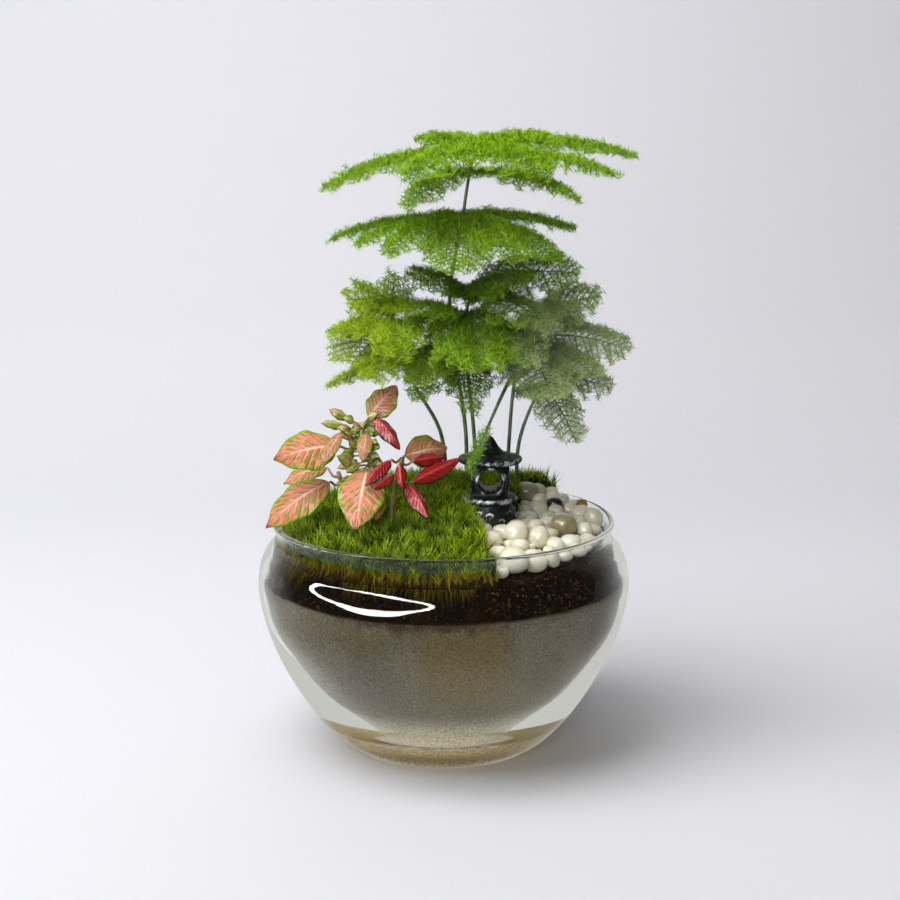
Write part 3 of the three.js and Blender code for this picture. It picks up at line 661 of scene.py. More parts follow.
def leaf_map(leaf):
    """Side from left to right, across from rib to edge, along from base to tip, and the veins' phase."""
    place = leaf.node("ShaderNodeUVMap", {"uv_map": "leaf"})
    parts = leaf.axis(place, "X")
    side = parts * 2 - 1
    across = leaf.math("ABSOLUTE", side)
    along = parts.other("Y")
    wander = leaf.noise(leaf.place, 240, 2) - 0.5
    phase = (along - 0.26 * across**0.85) / 0.115 + wander * 0.5
    return side, across, along, phase


def side_veins(leaf, phase, start, full):
    """1 on the side veins and 0 between them, from how near the phase is to a whole number."""
    vein = leaf.math("ABSOLUTE", leaf.math("FRACT", phase) - 0.5) * 2
    return leaf.band(vein, start, full)


def netted_pink():
    """Pink with pale veins, green blotches between them and a green edge."""
    leaf = Paint("netted_pink", Roughness=0.42, Specular_IOR_Level=0.25)
    leaf.coat(Coat_Weight=0.06, Coat_Roughness=0.2)
    side, across, along, phase = leaf_map(leaf)
    lateral = side_veins(leaf, phase, 0.72, 0.98)
    rib = leaf.band(across, 0.10, 0.01)
    cloud = leaf.noise(leaf.place, 150, 3)
    pink = leaf.mix(cloud, (0.80, 0.19, 0.12), (0.74, 0.30, 0.17))
    half = leaf.band(side, -0.02, 0.02)
    cell = leaf.node("ShaderNodeCombineXYZ", {}, {0: across * 3.4, 1: phase * 2, 2: half * 9})
    spot = leaf.cells(cell, 1.0, randomness=0.75)
    green_spot = leaf.band(spot, 0.52, 0.40) * leaf.band(across, 0.08, 0.2) * leaf.band(lateral, 0.9, 0.3)
    pale_side = lateral * leaf.band(across, 0.85, 0.1) * 0.75
    pale = leaf.math("MAXIMUM", pale_side, rib * leaf.band(along, 1.0, 0.2))
    veined = leaf.mix(pale, pink, (0.97, 0.78, 0.58))
    blotched = leaf.mix(green_spot * 0.9, veined, (0.24, 0.29, 0.015))
    edge = leaf.band(across + (leaf.noise(leaf.place, 420, 2) - 0.5) * 0.22, 0.80, 0.88)
    rim = leaf.mix(cloud, (0.16, 0.32, 0.004), (0.38, 0.48, 0.01))
    leaf.coat(Base_Color=leaf.mix(edge, blotched, rim))
    sunk = leaf.math("MAXIMUM", lateral, rib)
    leaf.bump(sunk * -1.0 + leaf.noise(leaf.place, 900, 2) * 0.4 + green_spot * 0.5, 0.28)
    return leaf.material


def folded_red():
    """Crimson with a dark edge and a warmer rib."""
    leaf = Paint("folded_red", Roughness=0.26, Specular_IOR_Level=0.35)
    leaf.coat(Coat_Weight=0.2, Coat_Roughness=0.1)
    _, across, _, phase = leaf_map(leaf)
    lateral = side_veins(leaf, phase, 0.6, 1.0)
    cloud = leaf.noise(leaf.place, 170, 3)
    red = leaf.mix(cloud, (0.20, 0.002, 0.004), (0.55, 0.010, 0.014))
    warm = leaf.mix(lateral * 0.2 + leaf.band(across, 0.3, 0.0) * 0.3, red, (0.78, 0.14, 0.10))
    edge = leaf.band(across + (cloud - 0.5) * 0.3, 0.76, 0.9)
    leaf.coat(Base_Color=leaf.mix(edge * 0.9, warm, (0.03, 0.022, 0.006)))
    leaf.bump(lateral * -1.0 + leaf.noise(leaf.place, 800, 3), 0.22)
    return leaf.material


def bud_green():
    """A young leaf, green flushed with orange, with a pale rib and a dark edge."""
    bud = Paint("bud_green", Roughness=0.4, Specular_IOR_Level=0.3)
    bud.coat(Coat_Weight=0.1, Coat_Roughness=0.2)
    _, across, _, _ = leaf_map(bud)
    cloud = bud.noise(bud.place, 260, 3)
    body = bud.mix(bud.band(cloud, 0.35, 0.65), (0.19, 0.34, 0.008), (0.62, 0.42, 0.15))
    rib = bud.mix(bud.band(across, 0.3, 0.0) * 0.6, body, (0.75, 0.62, 0.36))
    bud.coat(Base_Color=bud.mix(bud.band(across, 0.75, 0.95) * 0.7, rib, (0.08, 0.09, 0.01)))
    return bud.material


# Camera, floor and lights

FLOOR_GREY = (0.70, 0.70, 0.745)


def camera():
    """The camera that the bowl's outline and rim in the photo were solved for."""
    lens = bpy.data.cameras.new("camera")
    lens.sensor_width = 36
    lens.lens = 71.04
    lens.clip_start = 0.01
    seen = bpy.data.objects.new("camera", lens)
    seen.location = (0.0026, -0.700, 0.2595)
    seen.rotation_euler = (math.radians(90 - 11.24), 0, 0)
    bpy.context.scene.collection.objects.link(seen)
    bpy.context.scene.camera = seen


def sweep():
    """The floor runs back, curves up and becomes the backdrop."""
    depth, bend = 420, 500
    angles = np.linspace(0.1, math.pi / 2, 16)
    line = [(-1500, 0), (depth, 0)]
    line += [(depth + bend * math.sin(a), bend - bend * math.cos(a)) for a in angles]
    line.append((depth + bend, 2200))
    points = [(x, y, z) for y, z in line for x in (-2500, 2500)]
    faces = [(2 * i, 2 * i + 1, 2 * i + 3, 2 * i + 2) for i in range(len(line) - 1)]
    floor = mesh_object("sweep", points, faces)
    paper = Paint("studio_paper", Roughness=0.9)
    fibre = paper.noise(paper.place, 30, 3)
    plain = paper.mix(fibre, FLOOR_GREY, tuple(0.985 * c for c in FLOOR_GREY))
    # The floor in front of the bowl is dimmer when seen by way of the glass, like the room there
    seen = paper.node("ShaderNodeLightPath")
    straight = paper.math("LESS_THAN", seen.other("Diffuse Depth"), 0.5)
    in_front = paper.band(paper.axis(paper.place, "Y"), -0.13, -0.3)
    hidden = in_front * seen.other("Is Transmission Ray") * straight
    paper.coat(Base_Color=paper.mix(hidden, plain, (0.5, 0.5, 0.47)))
    # The floor about the bowl shines a little when seen by way of the glass, as light gathers there
    about = paper.band(paper.vector("LENGTH", paper.place).other("Value"), 0.17, 0.08)
    caustic = about * seen.other("Is Transmission Ray")
    paper.coat(Emission_Color=paper.mix(caustic, (0, 0, 0), (0.32, 0.30, 0.25)), Emission_Strength=1.0)
    floor.data.materials.append(paper.material)
    floor.visible_glossy = False


def soft_light(name, place, target, size, power, tint):
    lamp = bpy.data.lights.new(name, "AREA")
    lamp.shape = "DISK"
    lamp.size = size
    lamp.energy = power
    lamp.color = tint
    held = bpy.data.objects.new(name, lamp)
    held.location = place
    held.rotation_euler = (Vector(target) - Vector(place)).to_track_quat("-Z", "Y").to_euler()
    held.visible_glossy = False
    held.visible_transmission = False
    bpy.context.scene.collection.objects.link(held)


RING_LAMP = {
    "centre": (-30, -60, 76), "distance": 600, "bearing": -48, "half_turn": 44, "height": 20,
    "half_height": 17, "tube": 22, "steps": 96, "sides": 8, "glow": 30.0,
}
NECK_RADIUS = 66.5
NECK_FOOT = 80


def ring_lamp():
    """The long ring of light, up to the front left, that shows as a bright loop in the glass."""
    size = RING_LAMP
    steps, sides = size["steps"], size["sides"]
    centres = []
    for i in range(steps):
        turn = 2 * math.pi * i / steps
        bearing = math.radians(size["bearing"] + size["half_turn"] * math.cos(turn))
        height = math.radians(size["height"] + size["half_height"] * math.sin(turn))
        flat = math.cos(height)
        way = Vector((math.sin(bearing) * flat, -math.cos(bearing) * flat, math.sin(height)))
        centres.append((Vector(size["centre"]) + way * size["distance"], way))
    rings = []
    for i, (centre, way) in enumerate(centres):
        along = (centres[(i + 1) % steps][0] - centres[i - 1][0]).normalized()
        aside = along.cross(way).normalized()
        ring = []
        for k in range(sides):
            bend = 2 * math.pi * k / sides
            ring.append(centre + (aside * math.cos(bend) + way * math.sin(bend)) * size["tube"])
        rings.append(ring)
    lamp = outward(ring_skin("ring_lamp", rings, closed=True))
    glow = Paint("lamp_glow", Base_Color=(0, 0, 0))
    glow.coat(Emission_Color=(1, 1, 1), Emission_Strength=size["glow"])
    # Only its first reflection shows: none by way of matt surfaces, through the glass or in the neck
    ray = glow.node("ShaderNodeLightPath", output="Diffuse Depth")
    spot = glow.node("ShaderNodeNewGeometry")
    way_back = {0: spot.other("Incoming"), "Scale": ray.other("Ray Length")}
    mirror = glow.vector("ADD", spot, glow.node("ShaderNodeVectorMath", {"operation": "SCALE"}, way_back))
    reach = glow.vector("LENGTH", glow.vector("MULTIPLY", mirror, (1, 1, 0))).other("Value")
    neck = glow.math("GREATER_THAN", reach, NECK_RADIUS * MM)
    neck = neck * glow.math("GREATER_THAN", glow.axis(mirror, "Z"), NECK_FOOT * MM)
    dark = glow.node("ShaderNodeBsdfDiffuse", {}, {"Color": (0, 0, 0, 1)})
    unseen = ray + ray.other("Transmission Depth") + neck
    glow.cover(glow.math("GREATER_THAN", unseen, 0.5), dark)
    lamp.data.materials.append(glow.material)
    lamp.visible_camera = False
    lamp.visible_diffuse = False
    lamp.visible_transmission = False
    lamp.visible_shadow = False


def studio():
    camera()
    sweep()
    ring_lamp()
    soft_light("key", (-0.6, -0.36, 1.2), (0, 0, 0.08), 1.1, 14, (0.97, 0.98, 1))
    soft_light("top", (0.1, -0.3, 1.5), (0, 0.1, 0.1), 1.4, 3, (1, 0.98, 0.86))
    soft_light("front", (-0.3, -1.5, 0.5), (0, 0, 0.12), 0.8, 8, (1, 0.99, 0.92))
    soft_light("backdrop", (-0.35, 0.1, 1.1), (0.2, 1.2, 0.4), 1.0, 6, (0.99, 0.98, 0.99))
    world = bpy.data.worlds.new("studio")
    world.use_nodes = True
    sky = Tree(world.node_tree)
    # A room that is bright behind and straight overhead, and dark in front
    way = sky.axis(sky.node("ShaderNodeTexCoord"), "Y")
    overhead = sky.band(way.other("Z"), 0.93, 0.97, 0.0, 0.6)
    shine = sky.nodes.nodes["Background"]
    shine.inputs["Color"].default_value = (0.97, 0.97, 0.90, 1)
    room = sky.math("MAXIMUM", sky.band(way, 0.25, 0.98, 0.04, 0.55), overhead)
    # Rays that the glass has turned about come out into a bright room
    ray = sky.node("ShaderNodeLightPath", output="Glossy Depth")
    straight = sky.math("LESS_THAN", ray.other("Diffuse Depth"), 0.5)
    trapped = sky.math("GREATER_THAN", ray, 2.5) * straight
    strength = sky.math("MAXIMUM", room, trapped * 0.68)
    sky.nodes.links.new(strength.socket, shine.inputs["Strength"])
    scene = bpy.context.scene
    scene.world = world
    scene.view_settings.view_transform = "Standard"


# Bowl and layers

BOWL_SIDES = 144
outside_wall = spline_profile(BOWL_OUTSIDE, 80)
inside_wall = spline_profile(BOWL_INSIDE, 72)
neck_radius = min(r for r, z in inside_wall if z > 70)
WALL_Z = np.array([z for _, z in inside_wall])
WALL_R = np.array([r for r, _ in inside_wall])


def wall_radius(z):
    return float(np.interp(z, WALL_Z, WALL_R))


def press_inside(piece, clearance):
    """Pulls whatever would poke through the glass back inside it."""
    places = np.empty(3 * len(piece.data.vertices))
    piece.data.vertices.foreach_get("co", places)
    places = places.reshape(-1, 3)
    reach = np.hypot(places[:, 0], places[:, 1])
    room = (np.interp(places[:, 2] / MM, WALL_Z, WALL_R) - clearance) * MM
    places[:, :2] *= np.minimum(1, room / np.maximum(reach, 1e-9))[:, None]
    piece.data.vertices.foreach_set("co", places.ravel())
    piece.data.update()
    return piece


def glass_bowl():
    """One wall turned round: underside, outside, rounded lip, inside and floor."""
    outer, inner = outside_wall[-1], inside_wall[-1]
    lip = (outer[0] - inner[0]) / 2
    turns = [math.pi * i / 12 for i in range(1, 12)]
    edge = [(inner[0] + lip + lip * math.cos(t), outer[1] + lip * math.sin(t)) for t in turns]
    underside = [(0, 0.5), (22, 0.45), (34, 0.1), (36.5, 0)]
    inner_floor = [(30, FLOOR_TOP - 0.1), (0, FLOOR_TOP)]
    profile = underside + outside_wall + edge + inside_wall[::-1] + inner_floor
    bowl = lathe("blown_bowl", profile, BOWL_SIDES)
    bowl.data.materials.append(clear_glass())
    dress(bowl, "clear_glass", "glass_bowl")


def soil_edge(x, y):
    """The soil's height at the glass: banked up beside the pebbles, and more behind them."""
    beside = 4 * rise(30, 58, x) * (1 - rise(14, 36, y))
    behind = 9 * rise(5, 50, y) * rise(-10, 30, x)
    return SOIL_AT_WALL + beside + behind


def soil_height(x, y):
    spread = min(1, math.hypot(x, y) / PLANTED_RADIUS)
    return soil_edge(x, y) + SOIL_DOME * (1 - spread**2)


def moss_height(x, y):
    """The moss tips' height: domed, higher at the back, with one tuft at the back right."""
    spread = min(1, math.hypot(x, y) / PLANTED_RADIUS)
    tuft = 7 * math.exp(-(((x - 46) / 20) ** 2 + ((y - 42) / 16) ** 2))
    dome = SOIL_AT_WALL + MOSS_DOME * (1 - spread**2) + 3 * rise(-20, 50, y) * (1 - spread**4)
    swell = 3.5 * (1 - spread) * rise(-25, 15, y) + 1.5 * rise(20, 60, y)
    return dome + MOSS_DEPTH + swell + tuft


PRESSED = 0.15
SOIL_SIDES = 180
SOIL_FOOT = SAND_TOP + 0.9
DOME_RADIUS = 65


def edge_radius(x, y, lift=0):
    """The glass's inner radius at the soil's edge, or that far above it."""
    return wall_radius(soil_edge(PLANTED_RADIUS * x, PLANTED_RADIUS * y) + lift)


def sand_top(x, y):
    return SAND_TOP + 0.8 * drift(x, y, 0, 16)


def sand_layer():
    rings = [[(0, 0, FLOOR_TOP - PRESSED)]]
    for z in np.arange(FLOOR_TOP - PRESSED, SAND_TOP - 1.5, 1.6):
        clear = (PRESSED + GAP) * rise(12, 17, z)
        rings.append(around(wall_radius(z) + PRESSED - clear, z, BOWL_SIDES))
    rings += [around(wall_radius(SAND_TOP) - GAP, sand_top, BOWL_SIDES), [(0, 0, SAND_TOP)]]
    sand = ring_skin("sand_fill", rings)
    sand.data.materials.append(layered_sand())
    dress(sand, "sand", "sand_layer")


def crumbs(piece, material):
    """Grains of bark and peat over the soil that shows."""
    grow = Growth("soil_crumbs", {"Crumbs per square metre": 240000.0, "Crumb size": 1.1 * MM, "Seed": 5})
    ground = grow.given("Geometry")
    points = grow.node("GeometryNodeDistributePointsOnFaces", {"distribute_method": "RANDOM"}, {
        "Mesh": ground, "Selection": grow.named("crumbly"),
        "Density": grow.given("Crumbs per square metre"), "Seed": grow.given("Seed"),
    })
    ball = grow.node("GeometryNodeMeshIcoSphere", {}, {"Radius": 0.5, "Subdivisions": 1})
    turn = grow.turned(points.other("Rotation"), (0, 0, 1), grow.random(0.0, 6.3, 1))
    turn = grow.turned(turn, (1, 0, 0), grow.random(-1.0, 1.0, 2))
    size = grow.given("Crumb size")
    long = size * grow.random(0.5, 1.7, 3)
    wide = size * grow.random(0.4, 1.1, 4)
    tall = size * grow.random(0.4, 1.1, 5)
    scale = grow.node("ShaderNodeCombineXYZ", {}, {0: long, 1: wide, 2: tall})
    grains = grow.painted(grow.scattered(points, ball, turn, scale), material)
    grow.finish(grow.joined(ground, grains))
    return grow.run(piece, keep=("shade",))


def soil_rings():
    """The soil's outline in rings, from its underside up its rough wall and over its dome."""
    sunk = 0.3  # room for the crumbs that lie on it

    def bottom(x, y):
        return SOIL_FOOT + 0.8 * drift(x, y, 0, 16)

    def rough_wall(z):
        def radius(x, y):
            return wall_radius(z) - GAP - 1.0 + 0.45 * drift(60 * x, 60 * y, z, 2.4)
        return radius

    def bank_radius(share):
        def radius(x, y):
            edge = soil_edge(60 * x, 60 * y)
            return wall_radius(SOIL_AT_WALL + share * (edge - SOIL_AT_WALL)) - GAP - 1
        return radius

    def bank_height(share):
        low = SOIL_AT_WALL - 0.5
        return lambda x, y: low + share * (soil_edge(x, y) - low)

    def rim(x, y):
        return edge_radius(x, y) - GAP - 1.0

    def dome(x, y):
        return soil_height(x, y) - sunk + 0.5 * drift(x, y, 0, 3)

    rings = [[(0, 0, SOIL_FOOT)], around(wall_radius(SAND_TOP) - GAP - 1, bottom, SOIL_SIDES)]
    for rise_by in np.arange(0, 10.6, 0.75):
        z = SAND_TOP + GAP + 0.9 + rise_by
        rings.append(around(rough_wall(z), z, SOIL_SIDES))
    for share in (0.34, 0.67):
        rings.append(around(bank_radius(share), bank_height(share), SOIL_SIDES))
    rings.append(around(rim, soil_edge, SOIL_SIDES))
    for share in np.arange(0.94, 0.02, -0.04):
        rings.append(around(DOME_RADIUS * share, dome, SOIL_SIDES))
    return [*rings, [(0, 0, soil_height(0, 0) - sunk)]]


def soil_layer():
    soil = ring_skin("soil_fill", soil_rings())
    bare = []
    for vertex in soil.data.vertices:
        x, y = vertex.co.x / MM, vertex.co.y / MM
        shows = math.hypot(x, y) > 60 or inside_outline((x, y), PEBBLE_GROUND)
        bare.append(shows and vertex.co.z > 0.069)
    mark(soil, "crumbly", bare)
    soil.data.materials.append(dark_soil())
    press_inside(crumbs(soil, bark_crumb()), 0.12)
    dress(soil, "potting_soil", "soil_layer")


def inside_outline(point, outline):
    x, y = point
    inside = False
    for (x0, y0), (x1, y1) in zip(outline[-1:] + outline[:-1], outline):
        if (y1 > y) != (y0 > y) and x < (x0 - x1) * (y - y1) / (y0 - y1) + x1:
            inside = not inside
    return inside


# Moss

SHOOT_LEAVES = 9
STALK_LEAVES = 6
BED_BELOW_TIPS = 3.0
BED_SIDES = 120
BEARD_STALKS = 1500
BEARD_BEARINGS = (-2.0, 0.22)


def spike(root, way, length, width, thick):
    """Four corners of one thin pointed leaf, its base a triangle."""
    way = way.normalized()
    side = way.orthogonal().normalized() * width / 2
    back = way.cross(side).normalized() * thick
    return [root - side, root + side, root + back, root + way * length]


SPIKE_FACES = [(0, 2, 1), (0, 1, 3), (1, 2, 3), (2, 0, 3)]


def leafy_shoot(name, leaves):
    """A small tuft of pointed leaves, kept as a pattern for scattering."""
    points, faces, tips = [], [], []
    for root, way, length, width in leaves:
        start = len(points)
        points += spike(root, way, length, width, 0.5 * width)
        faces += [tuple(start + i for i in face) for face in SPIKE_FACES]
        tips += [0, 0, 0, 1]
    shoot = outward(mesh_object(name, points, faces, smooth=False))
    mark(shoot, "tip", tips)
    return shoot


def moss_shoot():
    draw = random.Random(11)
    leaves = []
    for i in range(SHOOT_LEAVES):
        turn = 2.4 * i
        lean = 0.16 + 0.75 * i / SHOOT_LEAVES
        aside = math.sin(lean)
        way = Vector((aside * math.cos(turn), aside * math.sin(turn), math.cos(lean)))
        root = Vector((0, 0, 1.3 * (1 - i / SHOOT_LEAVES)))
        leaves.append((root, way, draw.uniform(3.0, 5.0), draw.uniform(0.42, 0.58)))
    return leafy_shoot("moss_shoot", leaves)


def moss_stalk():
    draw = random.Random(12)
    leaves = []
    for i in range(STALK_LEAVES):
        turn = 2.4 * i
        way = Vector((0.16 * math.cos(turn), 0.16 * math.sin(turn), 1))
        leaves.append((Vector((0, 0, 0.5 * i)), way, draw.uniform(3.5, 6.0), draw.uniform(0.3, 0.42)))
    return leafy_shoot("moss_stalk", leaves)


def moss_growth(shoot, stalk, material):
    """Shoots on whatever faces up, and stalks on the sides."""
    grow = Growth("moss_growth", {
        "Shoot spacing": 1.5 * MM, "Stalks per square metre": 170000.0, "Lean": 0.55, "Seed": 21,
    })
    bed = grow.given("Geometry")
    upward = grow.axis(grow.node("GeometryNodeInputNormal"), "Z")
    facing_up = grow.math("GREATER_THAN", upward, 0.35)
    facing_out = grow.math("LESS_THAN", upward, 0.2)
    tops = grow.node("GeometryNodeDistributePointsOnFaces", {"distribute_method": "POISSON"}, {
        "Mesh": bed, "Selection": facing_up, "Distance Min": grow.given("Shoot spacing"),
        "Density Max": 900000.0, "Seed": grow.given("Seed"),
    })
    walls = grow.node("GeometryNodeDistributePointsOnFaces", {"distribute_method": "RANDOM"}, {
        "Mesh": bed, "Selection": facing_out, "Density": grow.given("Stalks per square metre"), "Seed": 4,
    })
    parts = []
    for points, pattern, step in ((tops, shoot, 0), (walls, stalk, 20)):
        info = grow.node("GeometryNodeObjectInfo", {}, {"Object": pattern}, "Geometry")
        spin = {"Axis": (0, 0, 1), "Angle": grow.random(0.0, 6.3, step)}
        upright = grow.node("FunctionNodeAxisAngleToRotation", {}, spin)
        lean = grow.turned(upright, (1, 0, 0), grow.random(0.0, 1.0, step + 1) * grow.given("Lean"))
        size = grow.random(0.6, 1.4, step + 2)
        parts.append(grow.painted(grow.scattered(points, info, lean, size), material))
    grow.finish(grow.joined(bed, *parts))
    return grow


def wavy(outline):
    """The outline with its edges wandering a little, as moss grows."""
    line = []
    for start, end in zip(outline, outline[1:] + outline[:1]):
        start, end = Vector(start), Vector(end)
        steps = max(1, round((end - start).length / 1.5))
        for i in range(steps):
            x, y = start.lerp(end, i / steps)
            line.append((x + 1.6 * drift(x, y, 0, 4, 5), y + 1.6 * drift(x, y, 0, 4, 6)))
    return line


def moss_blanket(outline, name):
    """The dense bed under the shoots, cut to one cushion's outline."""
    neck = neck_radius - 0.8

    def ground(x, y):
        return soil_height(x, y) + GAP

    def rim_radius(lift):
        return lambda x, y: edge_radius(x, y, lift) - 2.5 * GAP

    def rim_height(lift, least=0):
        return lambda x, y: max(least, soil_edge(x, y) + lift)

    def top(x, y):
        return moss_height(x, y) - BED_BELOW_TIPS + 1.5 * drift(x, y, 0, 7) + 0.9 * drift(x, y, 0, 2.6, 3)

    rings = [[(0, 0, ground(0, 0))]]
    rings += [around(DOME_RADIUS * share, ground, BED_SIDES) for share in (0.3, 0.6, 0.85)]
    rings.append(around(rim_radius(GAP), rim_height(GAP), BED_SIDES))
    rings.append(around(rim_radius(2.5), rim_height(1.3, 83), BED_SIDES))
    rings.append(around(neck, rim_height(2.6, 86.5), BED_SIDES))
    rings += [around(neck * share, top, BED_SIDES) for share in np.arange(1, 0.01, -0.04)]
    rings.append([(0, 0, moss_height(0, 0) - BED_BELOW_TIPS)])
    bed = ring_skin(name, rings)
    return boolean(bed, prism("outline", wavy(outline), 70, 130), "INTERSECT")


def moss_beard(material):
    """Old brown stalks that hang in clumps between the front cushion and the glass."""
    draw = random.Random(19)
    points, faces, tips, shades = [], [], [], []
    for _ in range(BEARD_STALKS):
        turn = draw.uniform(*BEARD_BEARINGS)
        x, y = math.sin(turn), -math.cos(turn)
        clump = 0.5 + 1.4 * drift(60 * x, 60 * y, 0, 6, 2)
        high = draw.uniform(81, 86.5)
        low = high - max(1.5, draw.uniform(3, 7) * clump + 2)
        turn += draw.uniform(-0.02, 0.02)
        deep = draw.uniform(0.3, 1.2)
        reach = wall_radius(high) - deep - 0.3
        root = Vector((x * reach, y * reach, high))
        end = Vector((math.sin(turn), -math.cos(turn), 0)) * (wall_radius(low) - deep)
        end += Vector((0, 0, low))
        start = len(points)
        points += spike(root, end - root, (end - root).length, draw.uniform(0.22, 0.4), 0.16)
        faces += [tuple(start + i for i in face) for face in SPIKE_FACES]
        tips += [1, 1, 1, 0]
        shades += [draw.random()] * 4
    beard = outward(mesh_object("moss_stalks", points, faces, smooth=False))
    mark(beard, "tip", tips)
    mark(beard, "shade", shades)
    beard.data.materials.append(material)
    dress(press_inside(beard, 0.15), "moss")


def moss():
    shoot, stalk = moss_shoot(), moss_stalk()
    paint = moss_green()
    grow = moss_growth(shoot, stalk, paint)
    bed_paint = moss_bed()
    for node, outline in (("moss_front", MOSS_FRONT), ("moss_back", MOSS_BACK)):
        cushion = moss_blanket(outline, node.replace("moss", "shaggy_moss"))
        cushion.data.materials.clear()
        cushion.data.materials.append(bed_paint)
        grow.run(cushion, keep=("shade", "tip"))
        dress(press_inside(cushion, 0.15), "moss", node)
    bpy.data.objects.remove(shoot)
    bpy.data.objects.remove(stalk)
    moss_beard(paint)


# Pebbles

STAND_OUT_STONES = [
    # node, x, y, half its length, half its height, lift, slot
    ("pebble_olive", 47.5, -17, 5.2, 4.7, 0, "olive_stone"),
    ("pebble_black", 46, 16.5, 3.4, 3.3, 0.6, "black_stone"),
    ("pebble_slate", 46.5, -25, 2.6, 2.2, 0, "slate_stone"),
    ("pebble_beige", 34.5, 28.5, 5.6, 4.2, 0.4, "beige_stone"),
    ("pebble_sand", 12.5, -26, 3.6, 3, 2.6, "olive_stone"),
    ("pebble_amber", 57.5, 21, 2.4, 2.2, 2.8, "amber_stone"),
]
SHOWN_STONES = [
    # x, y, half its length, half its height, how far from white: the stones that show, placed one by one
    (26.5, -51.5, 5.8, 4.9, 0.1), (35, -49, 4.3, 3.8, 0.35), (41, -45.5, 2.8, 4.2, 0.3),
    (18.5, -34.5, 4.2, 3.4, 0.1), (28.5, -27.5, 4.7, 4.7, 0.0), (37, -30.5, 3.9, 4.7, 0.1),
    (49.5, -29.5, 4.3, 3, 0.25), (56, -14, 3.4, 3.3, 0.0), (56, 9, 4.2, 3.8, 0.0),
    (60.5, 2, 3.8, 4.8, 0.3), (23.5, -22.5, 4.4, 2.7, 0.0), (16.5, -23, 2.6, 2.6, 0.4),
    (33, 10, 2.8, 2.8, 0.1), (34, 19, 2.6, 2.3, 0.5), (39, 14, 4.1, 3, 0.15), (42, 3.5, 3.9, 2.4, 0.0),
    (31.5, 0.5, 2.4, 2.2, 0.1), (35, -4, 2.8, 2.6, 0.1), (45.5, 39, 3.5, 3.1, 0.3),
    (46, 31.5, 3.9, 3.1, 0.15), (50.5, 35.5, 2.8, 2.7, 0.5), (55, 26.5, 4, 2.9, 0.15),
    (52, 15, 2.8, 3, 0.2), (59.5, 14.5, 2.8, 2.7, 0.45), (39.5, 34, 3.8, 3.8, 1.0),
    (54.5, -2, 2.7, 2.5, 0.1), (41, -37, 2.9, 2.3, 0.1), (51.5, -35, 3.2, 2.6, 0.55),
    (48.5, 4.5, 4, 2.3, 0.1), (29.5, -36.5, 3.7, 3.1, 0.2), (41.5, -8, 3.5, 2.9, 0.1),
    (28.5, -16.5, 3.4, 2.9, 0.05), (36.5, -15, 3.9, 3.2, 0.1),
]
FILL_PITCH = 7.2
FILL_ROOM = 0.62
CHIP_TRIES = 4000
CHIP_ROOM = 0.74


def apart(x, y, long, placed, room):
    """Whether a stone there keeps clear of the lantern and of the stones placed before it."""
    if math.hypot(x - LANTERN_AT[0], y - LANTERN_AT[1]) <= LANTERN_FOOT + long:
        return False
    return all(math.hypot(x - sx, y - sy) >= room * (wide + long) for sx, sy, wide in placed)


def fill_stones():
    """Stones between and under the ones that show, in rings along the wall."""
    draw = random.Random(7)
    shown = [(x, y, long) for x, y, long, *_ in SHOWN_STONES]
    shown += [(x, y, long) for _, x, y, long, *_ in STAND_OUT_STONES]
    stones = []
    radius = neck_radius - 4.6
    while radius > 5:
        count = math.floor(2 * math.pi * radius / FILL_PITCH)
        for k in range(count):
            bearing = 2 * math.pi * (k + draw.uniform(-0.1, 0.1)) / count
            x, y = radius * math.sin(bearing), -radius * math.cos(bearing)
            long, tall = draw.uniform(3.2, 4.2), draw.uniform(2.3, 3.0)
            if inside_outline((x, y), PEBBLE_GROUND) and apart(x, y, long, shown, FILL_ROOM):
                stones.append((x, y, long, tall, draw.uniform(0, 0.4)))
        radius -= 0.9 * FILL_PITCH
    return stones


def stone_chips(stones):
    """Small stones in the gaps that the others leave."""
    draw = random.Random(11)
    placed = [(x, y, long) for x, y, long, *_ in stones]
    placed += [(x, y, long) for _, x, y, long, *_ in STAND_OUT_STONES]
    chips = []
    for _ in range(CHIP_TRIES):
        x, y, long = draw.uniform(8, 62), draw.uniform(-62, 46), draw.uniform(1.3, 2.7)
        off_wall = math.hypot(x, y) < neck_radius - 1.5 - long
        free = off_wall and apart(x, y, long, placed, CHIP_ROOM)
        if free and inside_outline((x, y), PEBBLE_GROUND):
            placed.append((x, y, long))
            chips.append((x, y, long, 0.8 * long, draw.uniform(0, 0.4)))
    return chips


def pebble(name, x, y, long, tall, tone, seed, lift=0, fineness=3):
    """One water-worn stone: a ball pulled towards a soft box and dented a little."""
    draw = random.Random(seed)
    centre = Vector((x, y, soil_height(x, y) + GAP + tall + lift))
    half = Vector((long, (long + tall) / 2, tall))
    boxy = draw.uniform(0.80, 0.97)
    tilt = Euler((draw.uniform(-0.2, 0.2), draw.uniform(-0.2, 0.2), draw.uniform(-0.4, 0.6))).to_matrix()
    work = bmesh.new()
    bmesh.ops.create_icosphere(work, subdivisions=fineness, radius=1)
    for vertex in work.verts:
        way = vertex.co.copy()
        soft = Vector([math.copysign(abs(c) ** boxy, c) for c in way])
        dent = 0.11 * noise.noise(way * 0.9 + Vector((seed, 0, 0)))
        dimple = 0.03 * noise.noise(way * 2.3 + Vector((0, seed, 0)))
        vertex.co = (centre + tilt @ (soft * half) * (0.97 + dent + dimple)) * MM
    mesh = bpy.data.meshes.new(name)
    work.to_mesh(mesh)
    work.free()
    mesh.shade_smooth()
    made = bpy.data.objects.new(name, mesh)
    bpy.context.scene.collection.objects.link(made)
    mark(made, "tone", [tone] * len(mesh.vertices))
    return made


